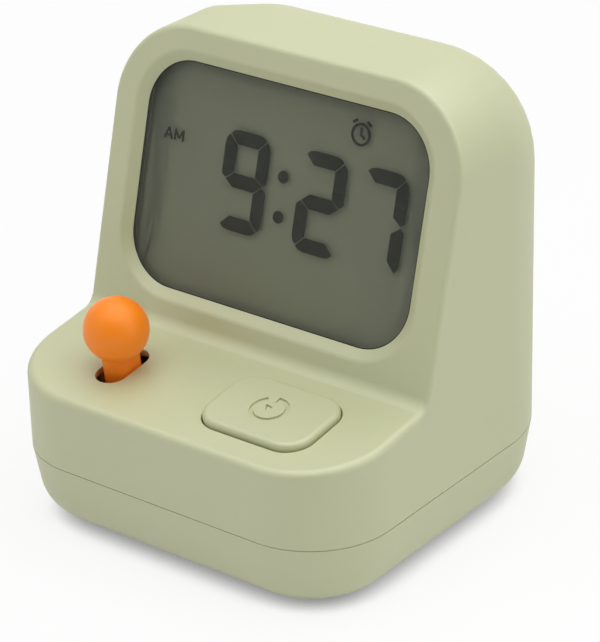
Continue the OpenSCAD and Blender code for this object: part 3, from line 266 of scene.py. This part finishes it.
def rounded_face(bm, w, l, r, z, segments):
    """A flat face with rounded corners at height z; one segment gives cut corners."""
    signs = (-1, -1), (1, -1), (1, 1), (-1, 1)
    corners = [bm.verts.new((x * w / 2, y * l / 2, z)) for x, y in signs]
    bm.faces.new(corners)
    round_corners(bm, corners, r, segments)
    return [f for f in bm.faces if all(abs(v.co.z - z) < 1e-9 for v in f.verts)][-1]


def slab(w, l, r, low, high, place, segments=16):
    bm = bmesh.new()
    pull(bm, [rounded_face(bm, w, l, r, low, segments)], (0, 0, high - low))
    return placed(bm, place)


def merged(parts):
    """One bmesh from several, which are used up."""
    out = bmesh.new()
    for part in parts:
        mesh = bpy.data.meshes.new("part")
        part.to_mesh(mesh)
        part.free()
        out.from_mesh(mesh)
        bpy.data.meshes.remove(mesh)
    return out


def hull_of(parts):
    """Smallest convex form around the points of several shapes."""
    bm = merged(parts)
    bmesh.ops.delete(bm, geom=bm.edges[:] + bm.faces[:], context="EDGES_FACES")
    bmesh.ops.remove_doubles(bm, verts=bm.verts[:], dist=POINT_NEAR)
    made = bmesh.ops.convex_hull(bm, input=bm.verts[:], use_existing_faces=False)
    spare = made["geom_interior"] + made["geom_unused"]
    inside = {g for g in spare if isinstance(g, bmesh.types.BMVert)}
    bmesh.ops.delete(bm, geom=list(inside), context="VERTS")
    bmesh.ops.dissolve_limit(bm, angle_limit=math.radians(0.25), verts=bm.verts[:],
                             edges=bm.edges[:])
    bmesh.ops.recalc_face_normals(bm, faces=bm.faces[:])
    return bm


def linked(name, bm):
    """An object of the scene from a bmesh, which is used up."""
    mesh = bpy.data.meshes.new(name)
    bm.to_mesh(mesh)
    bm.free()
    obj = bpy.data.objects.new(name, mesh)
    scene.collection.objects.link(obj)
    return obj


def drop(obj):
    mesh = obj.data
    bpy.data.objects.remove(obj)
    bpy.data.meshes.remove(mesh)


def settle(obj):
    """The object's mesh with its modifiers applied, as a bmesh; the object goes."""
    bm = bmesh.new()
    bm.from_object(obj, bpy.context.evaluated_depsgraph_get())
    drop(obj)
    return bm


def carve(bm, tools, operation="DIFFERENCE"):
    """The form cut by each tool in turn, or joined with it."""
    target = linked("scratch", bm)
    cutters = [linked("scratch", tool) for tool in tools]
    for cutter in cutters:
        step = target.modifiers.new("carve", "BOOLEAN")
        step.operation = operation
        step.solver = "EXACT"
        step.object = cutter
    out = settle(target)
    for cutter in cutters:
        drop(cutter)
    return out


def soften(bm, edges, width, segments=3):
    if edges:
        bmesh.ops.bevel(bm, geom=edges, offset=width, offset_type="OFFSET", affect="EDGES",
                        segments=segments, profile=0.5, clamp_overlap=True, material=-1)


def middle_of(edge):
    return (edge.verts[0].co + edge.verts[1].co) / 2


def rim_edges(bm, place, level, inside):
    """Edges that lie at one height of a frame, within an area of it."""
    back = place.inverted()

    def on_rim(vert):
        p = back @ vert.co
        return abs(p.z - level) < LEVEL_NEAR and inside(p.x, p.y)

    return [e for e in bm.edges if all(on_rim(v) for v in e.verts) and len(e.link_faces) == 2
            and e.calc_face_angle(0) > math.radians(8)]


def near(x0, y0, half_w, half_l):
    """Area around a point, a margin wider than its half sizes."""
    return lambda x, y: abs(x - x0) <= half_w + MARGIN and abs(y - y0) <= half_l + MARGIN


def anywhere(x, y):
    return True


def piece(name, bm, body, material, node):
    """A finished piece in the place of a node, smooth but creased where it turns sharply."""
    bmesh.ops.recalc_face_normals(bm, faces=bm.faces[:])
    for face in bm.faces:
        face.smooth = True
    obj = linked(name, bm)
    obj.data.set_sharp_from_angle(angle=math.radians(40))
    obj.data.materials.clear()
    obj.data.materials.append(material)
    even = obj.modifiers.new("even shading", "WEIGHTED_NORMAL")
    even.keep_sharp = True
    even.weight = 100
    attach(obj, body)
    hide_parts(node)
    return obj


# Materials

def srgb(code):
    """Linear colour from a hex code."""
    parts = [int(code[i:i + 2], 16) / 255 for i in (1, 3, 5)]
    return (*[c / 12.92 if c <= 0.04045 else ((c + 0.055) / 1.055) ** 2.4 for c in parts], 1)


def add(tree, kind, values=None, **settings):
    """A node with its settings; a value that is a socket is linked."""
    node = tree.nodes.new(kind)
    for key, value in settings.items():
        setattr(node, key, value)
    for key, value in (values or {}).items():
        if isinstance(value, bpy.types.NodeSocket):
            tree.links.new(value, node.inputs[key])
        else:
            node.inputs[key].default_value = value
    return node


def mapped(tree, value, source, target):
    """A value brought from one range to another."""
    return add(tree, "ShaderNodeMapRange", {
        "Value": value, "From Min": source[0], "From Max": source[1],
        "To Min": target[0], "To Max": target[1]}).outputs["Result"]


def greater(tree, a, b):
    return add(tree, "ShaderNodeMath", {0: a, 1: b}, operation="MAXIMUM").outputs[0]


def blank(name):
    material = bpy.data.materials.new(name)
    material.use_nodes = True
    material.node_tree.nodes.clear()
    return material, material.node_tree


def surfaced(name, dark, light, rough, grain, depth, patch, **shader):
    """A surface whose colour drifts between two over patches of a size. Its gloss varies over
    a range of roughness, and its relief has a depth, both with a fine grain."""
    material, tree = blank(name)
    place = add(tree, "ShaderNodeTexCoord").outputs["Object"]
    drift, fine = [add(tree, "ShaderNodeTexNoise", {"Vector": place, "Scale": 1 / size,
                                                    "Detail": 2.0}).outputs["Fac"]
                   for size in (patch, grain)]
    colour = add(tree, "ShaderNodeMix", {"Factor": drift, 6: srgb(dark), 7: srgb(light)},
                 data_type="RGBA")
    relief = add(tree, "ShaderNodeBump", {"Height": fine, "Distance": depth, "Strength": 1.0})
    shade = add(tree, "ShaderNodeBsdfPrincipled", {
        "Base Color": colour.outputs[2], "Roughness": mapped(tree, fine, (0.3, 0.7), rough),
        "Normal": relief.outputs["Normal"], **shader})
    add(tree, "ShaderNodeOutputMaterial", {"Surface": shade.outputs["BSDF"]})
    return material


# Matt sage green plastic with a fine spark-eroded grain, which keeps its sheen broad and soft
sage_abs = surfaced("sage_abs_plastic", "#c0c49a", "#c4c89e", (0.46, 0.56), 0.00025, 0.000006,
                    0.02, **{"Specular IOR Level": 0.9, "IOR": 1.62})
# Satin orange plastic, smoother than the case, with a faint painted red glow: its emission lifts
# the shaded parts as painted light
orange_abs_painted_glow = surfaced("orange_abs_plastic", "#ff8d1a", "#ff9322", (0.36, 0.44), 0.0003, 0.000003,
                      0.006, **{"Specular IOR Level": 0.35, "Emission Color": srgb("#ff3800"),
                                "Emission Strength": 0.06})
# Black rubber of the feet and the display's gasket: dull and slightly mottled
black_rubber = surfaced("black_rubber", "#1d1d1d", "#282828", (0.7, 0.85), 0.0004, 0.00002, 0.004)
# Matt polarising film: nearly clear, with a dull haze
film = surfaced("polariser_film", "#b4b8a4", "#babea9", (0.38, 0.46), 0.0002, 0.000002, 0.01,
                Alpha=0.05)
# Thin clear glass of the display
glass = surfaced("display_glass", "#d8e0da", "#dde4de", (0.08, 0.12), 0.001, 0.0000005, 0.02,
                 Alpha=0.02)
# Dark switched-on segments of the display
segment = surfaced("display_segment", "#141512", "#191a17", (0.6, 0.7), 0.0004, 0.000002, 0.005,
                   **{"Specular IOR Level": 0.15})
# Cloudy sealing resin around the display's two glasses
resin = surfaced("sealing_resin", "#62665a", "#6d7164", (0.4, 0.5), 0.0004, 0.000004, 0.003)
# Grey-green reflector behind the display, with a fine metallic grain
reflector = surfaced("reflector_foil", "#85896e", "#898d72", (0.5, 0.62), 0.0002, 0.000001, 0.012,
                     **{"Specular IOR Level": 0.25})
# White plastic of the inner holders
white_abs = surfaced("white_abs_plastic", "#dfddd4", "#e8e6de", (0.45, 0.55), 0.0003, 0.000006,
                     0.01)
# Black switch housings
black_nylon = surfaced("black_nylon", "#202122", "#2b2c2d", (0.45, 0.6), 0.0003, 0.000006, 0.004)
# Pink-grey silicone of the contact strips
silicone = surfaced("contact_silicone", "#c29ca5", "#cfafb6", (0.6, 0.7), 0.0003, 0.000004, 0.002)
# Green lacquer over the copper of the circuit boards
board = surfaced("board_lacquer", "#255a39", "#357a4f", (0.3, 0.4), 0.0004, 0.000004, 0.003)
# Fired white ceramic of the buzzer
ceramic = surfaced("buzzer_ceramic", "#dcd6c6", "#e6e1d4", (0.35, 0.5), 0.0003, 0.000004, 0.003)
# Zinc-plated steel of the screws, pins and springs
steel = surfaced("zinc_steel", "#aeb0b2", "#c3c5c7", (0.28, 0.4), 0.0005, 0.000002, 0.003,
                 Metallic=1.0)
# Nickel-plated spring steel of the battery contacts and their coils
nickel = surfaced("nickel_steel", "#bdb8ac", "#cfcabf", (0.2, 0.32), 0.0005, 0.000002, 0.003,
                  Metallic=1.0)
# Brass disc of the buzzer
brass = surfaced("buzzer_brass", "#b8913e", "#cda653", (0.3, 0.42), 0.0004, 0.000002, 0.003,
                 Metallic=1.0)
# Grey insulation of the flat cable
ribbon = surfaced("cable_insulation", "#9a9c9f", "#a8aaad", (0.5, 0.6), 0.0004, 0.000004, 0.002)
# Red insulation of the battery leads
lead = surfaced("lead_insulation", "#a82a22", "#b8352b", (0.45, 0.55), 0.0004, 0.000003, 0.002)
# Lacquered wrap of the two cells
wrap = surfaced("cell_wrap", "#3a3d42", "#474a50", (0.25, 0.35), 0.0006, 0.000003, 0.008)

FINISH = {
    "shell": sage_abs, "orange": orange_abs_painted_glow, "black_rubber": black_rubber, "film": film,
    "glass": glass, "segment": segment, "seal": resin, "reflector": reflector,
    "white_plastic": white_abs, "black_plastic": black_nylon, "zebra": silicone, "board": board,
    "ceramic": ceramic, "steel": steel, "nickel": nickel, "brass": brass, "ribbon": ribbon,
    "lead": lead, "cell": wrap,
}

# Finishes of the carried-over nodes
for row in frame["record"]["subparts"]:
    skin = frame["nodes"][row["node"]].data.materials
    skin.clear()
    skin.append(FINISH[row["material_slot"]])


# Upper shell

def shell_block(inset, low, segments):
    """Body above the seam without its notch, as one convex form."""
    back = FACE_EDGE_R + CORNER_BACK
    slant = math.cos(SCREEN_LEAN)
    tall = (FACE_TOP_R - FACE_EDGE_R) * slant + FACE_EDGE_R
    corner_q = (BODY_H - tall - SCREEN_Z + back * math.sin(SCREEN_LEAN)) / slant
    stretch = Matrix.Diagonal((1, tall / slant / FACE_TOP_R, 1, 1))
    parts = []
    for s in (-1, 1):
        front = (s * (BODY_W / 2 - FRONT_R), FRONT_Y + FRONT_R)
        rear = (s * (BODY_W / 2 - REAR_R), REAR_Y - REAR_R)
        side = s * (BODY_W / 2 - FACE_TOP_R)
        corner = FACE @ at(side, corner_q, -back) @ stretch
        top = at(side, rear[1], BODY_H - FACE_TOP_R) @ turned(QUARTER, "X")
        parts += [
            circle(FRONT_R - inset, at(*front, low), segments),
            circle(FRONT_R - inset, at(*front, FRONT_TOP), segments),
            circle(FACE_TOP_R - inset, corner, segments),
            circle(FACE_TOP_R - inset, at(0, -CORNER_AHEAD, 0) @ corner, segments),
            circle(REAR_R - inset, at(*rear, low), segments),
            circle(FACE_TOP_R - inset, top, segments),
        ]
        dome = half_ring(REAR_R - REAR_TOP_R, REAR_TOP_R - inset,
                         at(*rear, BODY_H - REAR_TOP_R) @ turned(math.pi, "X"), segments)
        bmesh.ops.bisect_plane(dome, geom=dome.verts[:] + dome.edges[:] + dome.faces[:],
                               dist=POINT_NEAR, plane_co=(0, rear[1], 0), plane_no=(0, -1, 0),
                               clear_outer=True)
        parts.append(dome)
    return hull_of(parts)


def notch(inset, segments):
    """Space over the deck and in front of the screen face."""
    rise, lean = math.tan(DECK_SLOPE), math.tan(SCREEN_LEAN)
    deck_z = DECK_Z - inset / math.cos(DECK_SLOPE)
    face_y = FACE_Y + inset / math.cos(SCREEN_LEAN)
    y = (face_y + (deck_z - FRONT_Y * rise - SCREEN_Z) * lean) / (1 - rise * lean)
    z = deck_z + (y - FRONT_Y) * rise
    ends = [(NOTCH_FRONT, deck_z + (NOTCH_FRONT - FRONT_Y) * rise), (y, z),
            (face_y + (NOTCH_TOP - SCREEN_Z) * lean, NOTCH_TOP), (NOTCH_FRONT, NOTCH_TOP)]
    bm = bmesh.new()
    corners = [bm.verts.new((-NOTCH_SIDE, *p)) for p in ends]
    bm.faces.new(corners)
    round_corners(bm, [corners[1]], NOOK_R + inset, segments)
    pull(bm, bm.faces[:], (2 * NOTCH_SIDE, 0, 0))
    return placed(bm, HERE)


def edge_rounding(bm):
    """Soft edge along the deck and up around the screen face, wider along the deck."""
    low, short = SHELL_Z + 0.003, 0.0003

    def sharp():
        return [e for e in bm.edges if e.verts[0].co.z > low
                and e.calc_face_angle_signed(0) > math.radians(35)]

    bmesh.ops.remove_doubles(bm, verts=list({v for e in sharp() for v in e.verts}), dist=short)
    weight = bm.edges.layers.float.new("bevel_weight_edge")
    to_deck, to_face = DECK.inverted(), FACE.inverted()
    for edge in sharp():
        middle = middle_of(edge)
        over_deck, before_face = abs((to_deck @ middle).z), abs((to_face @ middle).z)
        share = over_deck / (over_deck + before_face + 1e-12)
        edge[weight] = (DECK_EDGE_R + (FACE_EDGE_R - DECK_EDGE_R) * share) / DECK_EDGE_R
    obj = linked("scratch", bm)
    step = obj.modifiers.new("edge", "BEVEL")
    step.limit_method = "WEIGHT"
    step.width = DECK_EDGE_R
    step.segments = 8
    step.profile = 0.5
    step.use_clamp_overlap = False
    return settle(obj)


def window_tool():
    """Window opening with the flare of its bevel."""
    bm = bmesh.new()
    flare = BEVEL_W * (1 + WINDOW_OVER / BEVEL_DEPTH)
    loops = []
    for n, grow in (WINDOW_LOW, 0), (-BEVEL_DEPTH, 0), (WINDOW_OVER, flare):
        face = rounded_face(bm, WINDOW_W + 2 * grow, WINDOW_H + 2 * grow, WINDOW_R + grow, n, 24)
        loops.append(list(face.edges))
        if n == -BEVEL_DEPTH:
            bmesh.ops.delete(bm, geom=[face], context="FACES_ONLY")
    for a, b in zip(loops, loops[1:]):
        bmesh.ops.bridge_loops(bm, edges=a + b)
    return placed(bm, WINDOW)


def polar(radius, angle):
    return (radius * math.cos(angle), radius * math.sin(angle))


def rear_holes():
    """Holes of the two keys, and the sound holes: one in the middle of a ring."""
    turn = 2 * math.pi / SOUND_COUNT
    places = [(0, 0)] + [polar(SOUND_RING, turn * i) for i in range(SOUND_COUNT)]
    return [*[rod(KEY_R + PLAY, *REAR_CUT, REAR @ at(s * KEY_X, KEY_Z, 0)) for s in (-1, 1)],
            *[rod(SOUND_R, *REAR_CUT, REAR @ at(x, SOUND_Z + z, 0), 32) for x, z in places]]


def seam_edges(bm, level):
    """Outer edge of the body at one height."""
    def faces_out(edge):
        middle = middle_of(edge)
        return any(abs(f.normal.z) < 0.5 and f.normal.xy.dot(middle.xy) > WALL_OUT
                   for f in edge.link_faces)

    return [e for e in bm.edges if all(abs(v.co.z - level) < LEVEL_NEAR for v in e.verts)
            and e.calc_face_angle(0) > math.radians(30) and faces_out(e)]


shell = edge_rounding(carve(shell_block(0, SHELL_Z, OUTER), [notch(0, 8)]))
room = carve(shell_block(WALL, SHELL_Z - PAST_SEAM, INNER), [notch(WALL, 3)])
shell = carve(shell, [
    room,
    window_tool(),
    slab(SEAT_W, SEAT_H, SEAT_CUT, SEAT_LOW, -REBATE, SEAT, 1),
    slab(SLOT_W, SLOT_L, SLOT_W / 2 - HAIR, *DECK_CUT, LEVER),
    slab(SLOT_W + 2 * RELIEF, SLOT_L + 2 * RELIEF, SLOT_W / 2 + RELIEF - HAIR,
         DECK_CUT[0], -RELIEF, LEVER),
    slab(BUTTON_W + 2 * PLAY, BUTTON_L + 2 * PLAY, BUTTON_R + PLAY, *DECK_CUT, BUTTON),
    *rear_holes()])
around_window = near(WINDOW_X, WINDOW_Q, WINDOW_W / 2 + BEVEL_W, WINDOW_H / 2 + BEVEL_W)
around_slot = near(LEVER_X, LEVER_V, SLOT_W / 2, SLOT_L / 2)
around_button = near(BUTTON_X, BUTTON_V, BUTTON_W / 2 + PLAY, BUTTON_L / 2 + PLAY)
around_rear_holes = near(0, (KEY_Z + SOUND_Z) / 2, KEY_X + KEY_R + PLAY,
                         (SOUND_Z - KEY_Z) / 2 + SOUND_RING + SOUND_R)
for place, level, area, width in (
        (FACE, 0, around_window, WINDOW_SOFT),
        (FACE, -BEVEL_DEPTH, around_window, BEVEL_SOFT),
        (DECK, 0, around_slot, SLOT_SOFT),
        (DECK, 0, around_button, HOLE_SOFT),
        (REAR, 0, around_rear_holes, REAR_SOFT)):
    soften(shell, rim_edges(shell, place, level, area), width)
soften(shell, seam_edges(shell, SHELL_Z), SEAM_SOFT)
piece("upper_shell_moulding", shell, "case", sage_abs, "upper_shell")

# Gasket pressed flat between the seat and the display's film
gasket = carve(
    slab(SEAT_W - 2 * PLAY, SEAT_H - 2 * PLAY, SEAT_CUT, -FILM_N, -REBATE - GASKET_GAP, SEAT, 1),
    [slab(WINDOW_W - 2 * GASKET_SHOW, WINDOW_H - 2 * GASKET_SHOW, WINDOW_R - GASKET_SHOW,
          -WALL, 0, WINDOW, 24)])
piece("lcd_gasket_flat", gasket, "case", black_rubber, "lcd_gasket")


# Lever and button

knob = carve(ball(KNOB_R, DECK @ at(LEVER_X, LEVER_V, KNOB_UP), 64),
             [slab(STEM_W, STEM_L, STEM_W / 2 - HAIR, -STEM_DOWN, KNOB_UP, LEVER, 24)], "UNION")
soften(knob, [e for e in knob.edges if e.calc_face_angle_signed(0) < -math.radians(25)], KNOB_SOFT)
piece("lever_ball", knob, "lever", orange_abs_painted_glow, "lever_knob")


def stroke(a, b, low, high, place):
    """Straight line of the sign between two points."""
    a, b = Vector(a), Vector(b)
    way = (b - a).normalized() * SIGN_LINE / 2
    side = Vector((-way.y, way.x))
    return prism([a - side, b - side, b + side, a + side], low, high, place)


def sign_tools():
    """Cutters of the round arrow and the pointer in its middle."""
    low, high, place = -SIGN_DEPTH, SIGN_OVER, at(SIGN_X, SIGN_V, BUTTON_UP)
    first, last = SIGN_GAP
    barb = [polar(SIGN_BARB, first), polar(SIGN_OUTER, first - BARB_TURN[0]),
            polar(SIGN_INNER, first - BARB_TURN[1])]
    return [arc_bar(SIGN_INNER, SIGN_OUTER, low, high, last, first + 2 * math.pi, place),
            prism(barb, low, high, place),
            *[stroke(a, b, low, high, place) for a, b in POINTER]]


cap = slab(BUTTON_W, BUTTON_L, BUTTON_R, -BUTTON_DOWN, BUTTON_UP, HERE)
soften(cap, rim_edges(cap, HERE, BUTTON_UP, anywhere), CAP_SOFT, 6)
cap = carve(cap, sign_tools())
around_sign = near(SIGN_X, SIGN_V, SIGN_OUTER, SIGN_OUTER)
soften(cap, rim_edges(cap, HERE, BUTTON_UP, around_sign), SIGN_SOFT)
flange = slab(BUTTON_W + 2 * FLANGE_OUT, BUTTON_L + 2 * FLANGE_OUT, BUTTON_R,
              FLANGE_LOW, FLANGE_HIGH, HERE, 8)
cap = merged([cap, flange])
bmesh.ops.transform(cap, matrix=BUTTON, verts=cap.verts[:])
piece("deck_button_cap", cap, "deck_button", sage_abs, "deck_button")


# Base cover

def cover_block(inset, high, segments):
    """Body below the seam, as one convex form."""
    parts = []
    for x, y, r in CORNERS:
        parts += [half_ring(r - RIM_IN - RIM_R, RIM_R - inset, at(x, y, FOOT_H + RIM_R), segments),
                  circle(r - inset, at(x, y, high), segments)]
    return hull_of(parts)


def plan_prism(inset, low, high):
    """Upright form of the body's plan, drawn in by an inset."""
    return hull_of([circle(r - inset, at(x, y, z), 64) for x, y, r in CORNERS for z in (low, high)])


def screw_place(x, y, r):
    """Place of the screw in one of the body's corners."""
    k = (r - SCREW_IN) / math.sqrt(2)
    return at(x + math.copysign(k, x), y + math.copysign(k, y), 0)


def around_bay(half_w, half_l, low, high):
    return block((-half_w, BAY_Y - half_l, low), (half_w, BAY_Y + half_l, high))


SCREWS = [screw_place(*corner) for corner in CORNERS]
room = carve(cover_block(WALL, COVER_Z + PAST_SEAM, INNER), [
    around_bay(BAY_W / 2 + BAY_WALL, BAY_L / 2 + BAY_WALL, 0, BAY_TOP + BAY_WALL),
    *[rod(COLUMN_R, 0, COVER_Z, place) for place in SCREWS]])
cover = carve(cover_block(0, COVER_Z, OUTER), [
    room,
    around_bay(BAY_W / 2, BAY_L / 2, FOOT_H + WALL, BAY_TOP),
    around_bay(DOOR_W / 2, BAY_L / 2, UNDER, DOOR_TOP),
    rod(STUB_R, -DOOR_W / 2 - STUB_L, DOOR_W / 2 + STUB_L,
        at(0, BEAD_Y, BEAD_Z) @ turned(QUARTER, "Y")),
    rod(GRIP_R, UNDER, FOOT_H + GRIP_DEPTH, at(0, BAY_Y + BAY_L / 2, 0)),
    *[rod(HEAD_R, UNDER, HEAD_SEAT, place) for place in SCREWS],
    *[rod(SHAFT_R, 0, SHAFT_TOP, place, 24) for place in SCREWS],
    *[rod(FOOT_R, UNDER, FOOT_H + FOOT_SUNK, at(x, y, 0)) for x, y in FEET]])
lip = carve(plan_prism(WALL - LIP_SUNK, COVER_Z - LIP_H, COVER_Z),
            [plan_prism(LIP_IN, COVER_Z - LIP_H, COVER_Z + LIP_H)], "UNION")
lip = carve(lip, [plan_prism(LIP_IN + LIP_T, *LIP_CUT)])
cover = carve(cover, [lip], "UNION")
soften(cover, seam_edges(cover, COVER_Z), SEAM_SOFT)
soften(cover, rim_edges(cover, HERE, FOOT_H, anywhere), COVER_SOFT, 2)
piece("base_cover_moulding", cover, "case", sage_abs, "base_cover")


# Small pieces with their edges broken

def softened(node, body, slot, width):
    """A copy of a carried-over node, merged and with its sharp edges rounded."""
    bm = bmesh.new()
    bm.from_mesh(frame["nodes"][node].data)
    bmesh.ops.remove_doubles(bm, verts=bm.verts[:], dist=1e-6)
    bmesh.ops.dissolve_limit(bm, angle_limit=math.radians(1), verts=bm.verts[:], edges=bm.edges[:])
    soften(bm, [e for e in bm.edges if e.calc_face_angle(0) > math.radians(40)], width, 2)
    piece(node + "_soft", bm, body, FINISH[slot], node)


softened("battery_door", "battery_door", "shell", 0.00012)
softened("set_key", "set_key", "shell", 0.0003)
softened("alarm_key", "alarm_key", "shell", 0.0003)
softened("rubber_feet", "case", "black_rubber", 0.0002)
softened("case_screws", "case", "steel", 0.00008)


# Battery contacts: plates, pressed bosses and wound coils

def contact(name, side, low, high, boss_y=None, coil_y=None):
    """Contact on one end wall of the bay, from low to high in Y."""
    wall = side * BAY_W / 2
    inner = side * (BAY_W / 2 - CONTACT_T)
    tall = CELL_R - PLATE_IN
    plate = block((min(inner, wall), BAY_Y + low, CELL_Z - tall),
                  (max(inner, wall), BAY_Y + high, CELL_Z + tall))
    across = [e for e in plate.edges if abs(e.verts[0].co.x - e.verts[1].co.x) > 1e-6]
    soften(plate, across, PLATE_R, 4)
    parts = [plate]
    out = turned(-side * QUARTER, "Y")
    if boss_y is not None:
        boss = rod(BOSS_R, 0, CONTACT_ROOM, HERE)
        soften(boss, rim_edges(boss, HERE, CONTACT_ROOM, anywhere), BOSS_EDGE, 4)
        bmesh.ops.transform(boss, matrix=at(inner, BAY_Y + boss_y, CELL_Z) @ out,
                            verts=boss.verts[:])
        parts.append(boss)
    if coil_y is not None:
        parts.append(helix(COIL_R, WIRE_R, CONTACT_ROOM, COIL_TURNS,
                           at(inner, BAY_Y + coil_y, CELL_Z) @ out))
    piece(name + "_sheet", merged(parts), "case", nickel, name)


half = CELL_PITCH / 2
contact("contact_positive", 1, -half - PLATE_HALF, -half + PLATE_HALF, boss_y=-half)
contact("contact_negative", 1, half - PLATE_HALF, half + PLATE_HALF, coil_y=half)
contact("contact_link", -1, -half - PLATE_HALF, half + PLATE_HALF, boss_y=half, coil_y=-half)


# Springs on the deck board

def springs(node, places, radius, wire, height, turns):
    """Wound springs on the deck board, each a coil of round wire up to its height."""
    coils = [helix(radius, wire, height, turns, DECK @ at(x, v, -BOARD_DROP)) for x, v in places]
    obj = piece(node + "_wound", merged(coils), "case", steel, node)
    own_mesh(obj)


springs("button_springs", [(BUTTON_X + s * BUTTON_SPRING_X, BUTTON_V) for s in (-1, 1)],
        radius=0.0014, wire=0.00022, height=0.00915, turns=7)
springs("lever_springs", [(LEVER_X, LEVER_V + s * LEVER_SPRING_V) for s in (-1, 1)],
        radius=0.0011, wire=0.00018, height=0.00338, turns=3)


# Camera, placed as the photo was taken

AZIMUTH, ELEVATION, ROLL = math.radians(38.148), math.radians(26.238), math.radians(-1.554)
AIM, SHIFT_RIGHT, SHIFT_UP, DISTANCE = Vector((0, 0, 0.036)), 0.002235, -0.005593, 0.453169

camera = bpy.data.objects.new("camera", bpy.data.cameras.new("camera"))
scene.collection.objects.link(camera)
scene.camera = camera
back = Vector((math.sin(AZIMUTH) * math.cos(ELEVATION), -math.cos(AZIMUTH) * math.cos(ELEVATION),
               math.sin(ELEVATION)))
level_right = Vector((math.cos(AZIMUTH), math.sin(AZIMUTH), 0))
level_up = back.cross(level_right)
right = math.cos(ROLL) * level_right + math.sin(ROLL) * level_up
up = math.cos(ROLL) * level_up - math.sin(ROLL) * level_right
eye = AIM + right * SHIFT_RIGHT + up * SHIFT_UP + back * DISTANCE
camera.matrix_world = Matrix((*zip(right, up, back, eye), (0, 0, 0, 1)))
camera.data.lens = 164.08
camera.data.sensor_width = 36
camera.data.clip_start, camera.data.clip_end = 0.01, 50


# Light and floor

WHITE = (1, 1, 1, 1)
LAMP_AIM = Vector((0, 0, 0.035))


def sees_white(tree):
    """One for a ray that is seen straight, in gloss or through glass."""
    ray = add(tree, "ShaderNodeLightPath").outputs
    gloss = greater(tree, ray["Is Camera Ray"], ray["Is Glossy Ray"])
    return greater(tree, gloss, ray["Is Transmission Ray"])


world = bpy.data.worlds.new("studio")
scene.world = world
world.use_nodes = True
tree = world.node_tree
tree.nodes.clear()
soft = add(tree, "ShaderNodeBackground", {"Color": WHITE, "Strength": 0.02})
# White all round for the eye; in gloss the room is darker on the side of the viewer
outward = add(tree, "ShaderNodeTexCoord").outputs["Generated"]
to_rear = add(tree, "ShaderNodeSeparateXYZ", {"Vector": outward}).outputs["Y"]
room_light = mapped(tree, to_rear, (-0.7, 0.1), (0.15, 1.0))
strength = greater(tree, add(tree, "ShaderNodeLightPath").outputs["Is Camera Ray"], room_light)
plain = add(tree, "ShaderNodeBackground", {"Color": WHITE, "Strength": strength})
either = add(tree, "ShaderNodeMixShader", {0: sees_white(tree), 1: soft.outputs["Background"],
                                           2: plain.outputs["Background"]})
add(tree, "ShaderNodeOutputWorld", {"Surface": either.outputs["Shader"]})


def softbox(name, place, size, power):
    """Round lamp that faces the clock."""
    lamp = bpy.data.lights.new(name, "AREA")
    lamp.shape = "DISK"
    lamp.size = size
    lamp.energy = power
    obj = bpy.data.objects.new(name, lamp)
    scene.collection.objects.link(obj)
    obj.location = place
    obj.rotation_mode = "QUATERNION"
    obj.rotation_quaternion = (LAMP_AIM - Vector(place)).to_track_quat("-Z", "Y")


softbox("overhead softbox", (0.1, 0.0, 1.4), size=2.2, power=23.0)
softbox("rear softbox", (0.2, 0.9, 1.0), size=1.2, power=2.6)
softbox("front left softbox", (-0.8, -0.95, 0.6), size=1.9, power=5.5)
softbox("right softbox", (0.95, 0.1, 0.55), size=1.0, power=2.4)

sheet = bmesh.new()
bmesh.ops.create_grid(sheet, x_segments=1, y_segments=1, size=4.0)
floor = linked("floor", sheet)
# White paper with a painted contact shadow: ambient occlusion darkens it close to the clock where
# the two meet
paper, tree = blank("white_paper")
matt = add(tree, "ShaderNodeBsdfDiffuse", {"Color": (0.9, 0.9, 0.9, 1)})
nearness = add(tree, "ShaderNodeAmbientOcclusion", {"Distance": 0.01}, samples=16)
contact_shade = mapped(tree, nearness.outputs["AO"], (0.1, 0.5), (0.3, 1.0))
white = add(tree, "ShaderNodeEmission", {"Color": WHITE, "Strength": contact_shade})
faint = add(tree, "ShaderNodeMixShader", {0: 0.85, 1: matt.outputs["BSDF"],
                                          2: white.outputs["Emission"]})
seen = add(tree, "ShaderNodeMixShader", {0: sees_white(tree), 1: matt.outputs["BSDF"],
                                         2: faint.outputs["Shader"]})
add(tree, "ShaderNodeOutputMaterial", {"Surface": seen.outputs["Shader"]})
floor.data.materials.append(paper)

scene.view_settings.view_transform = "Standard"
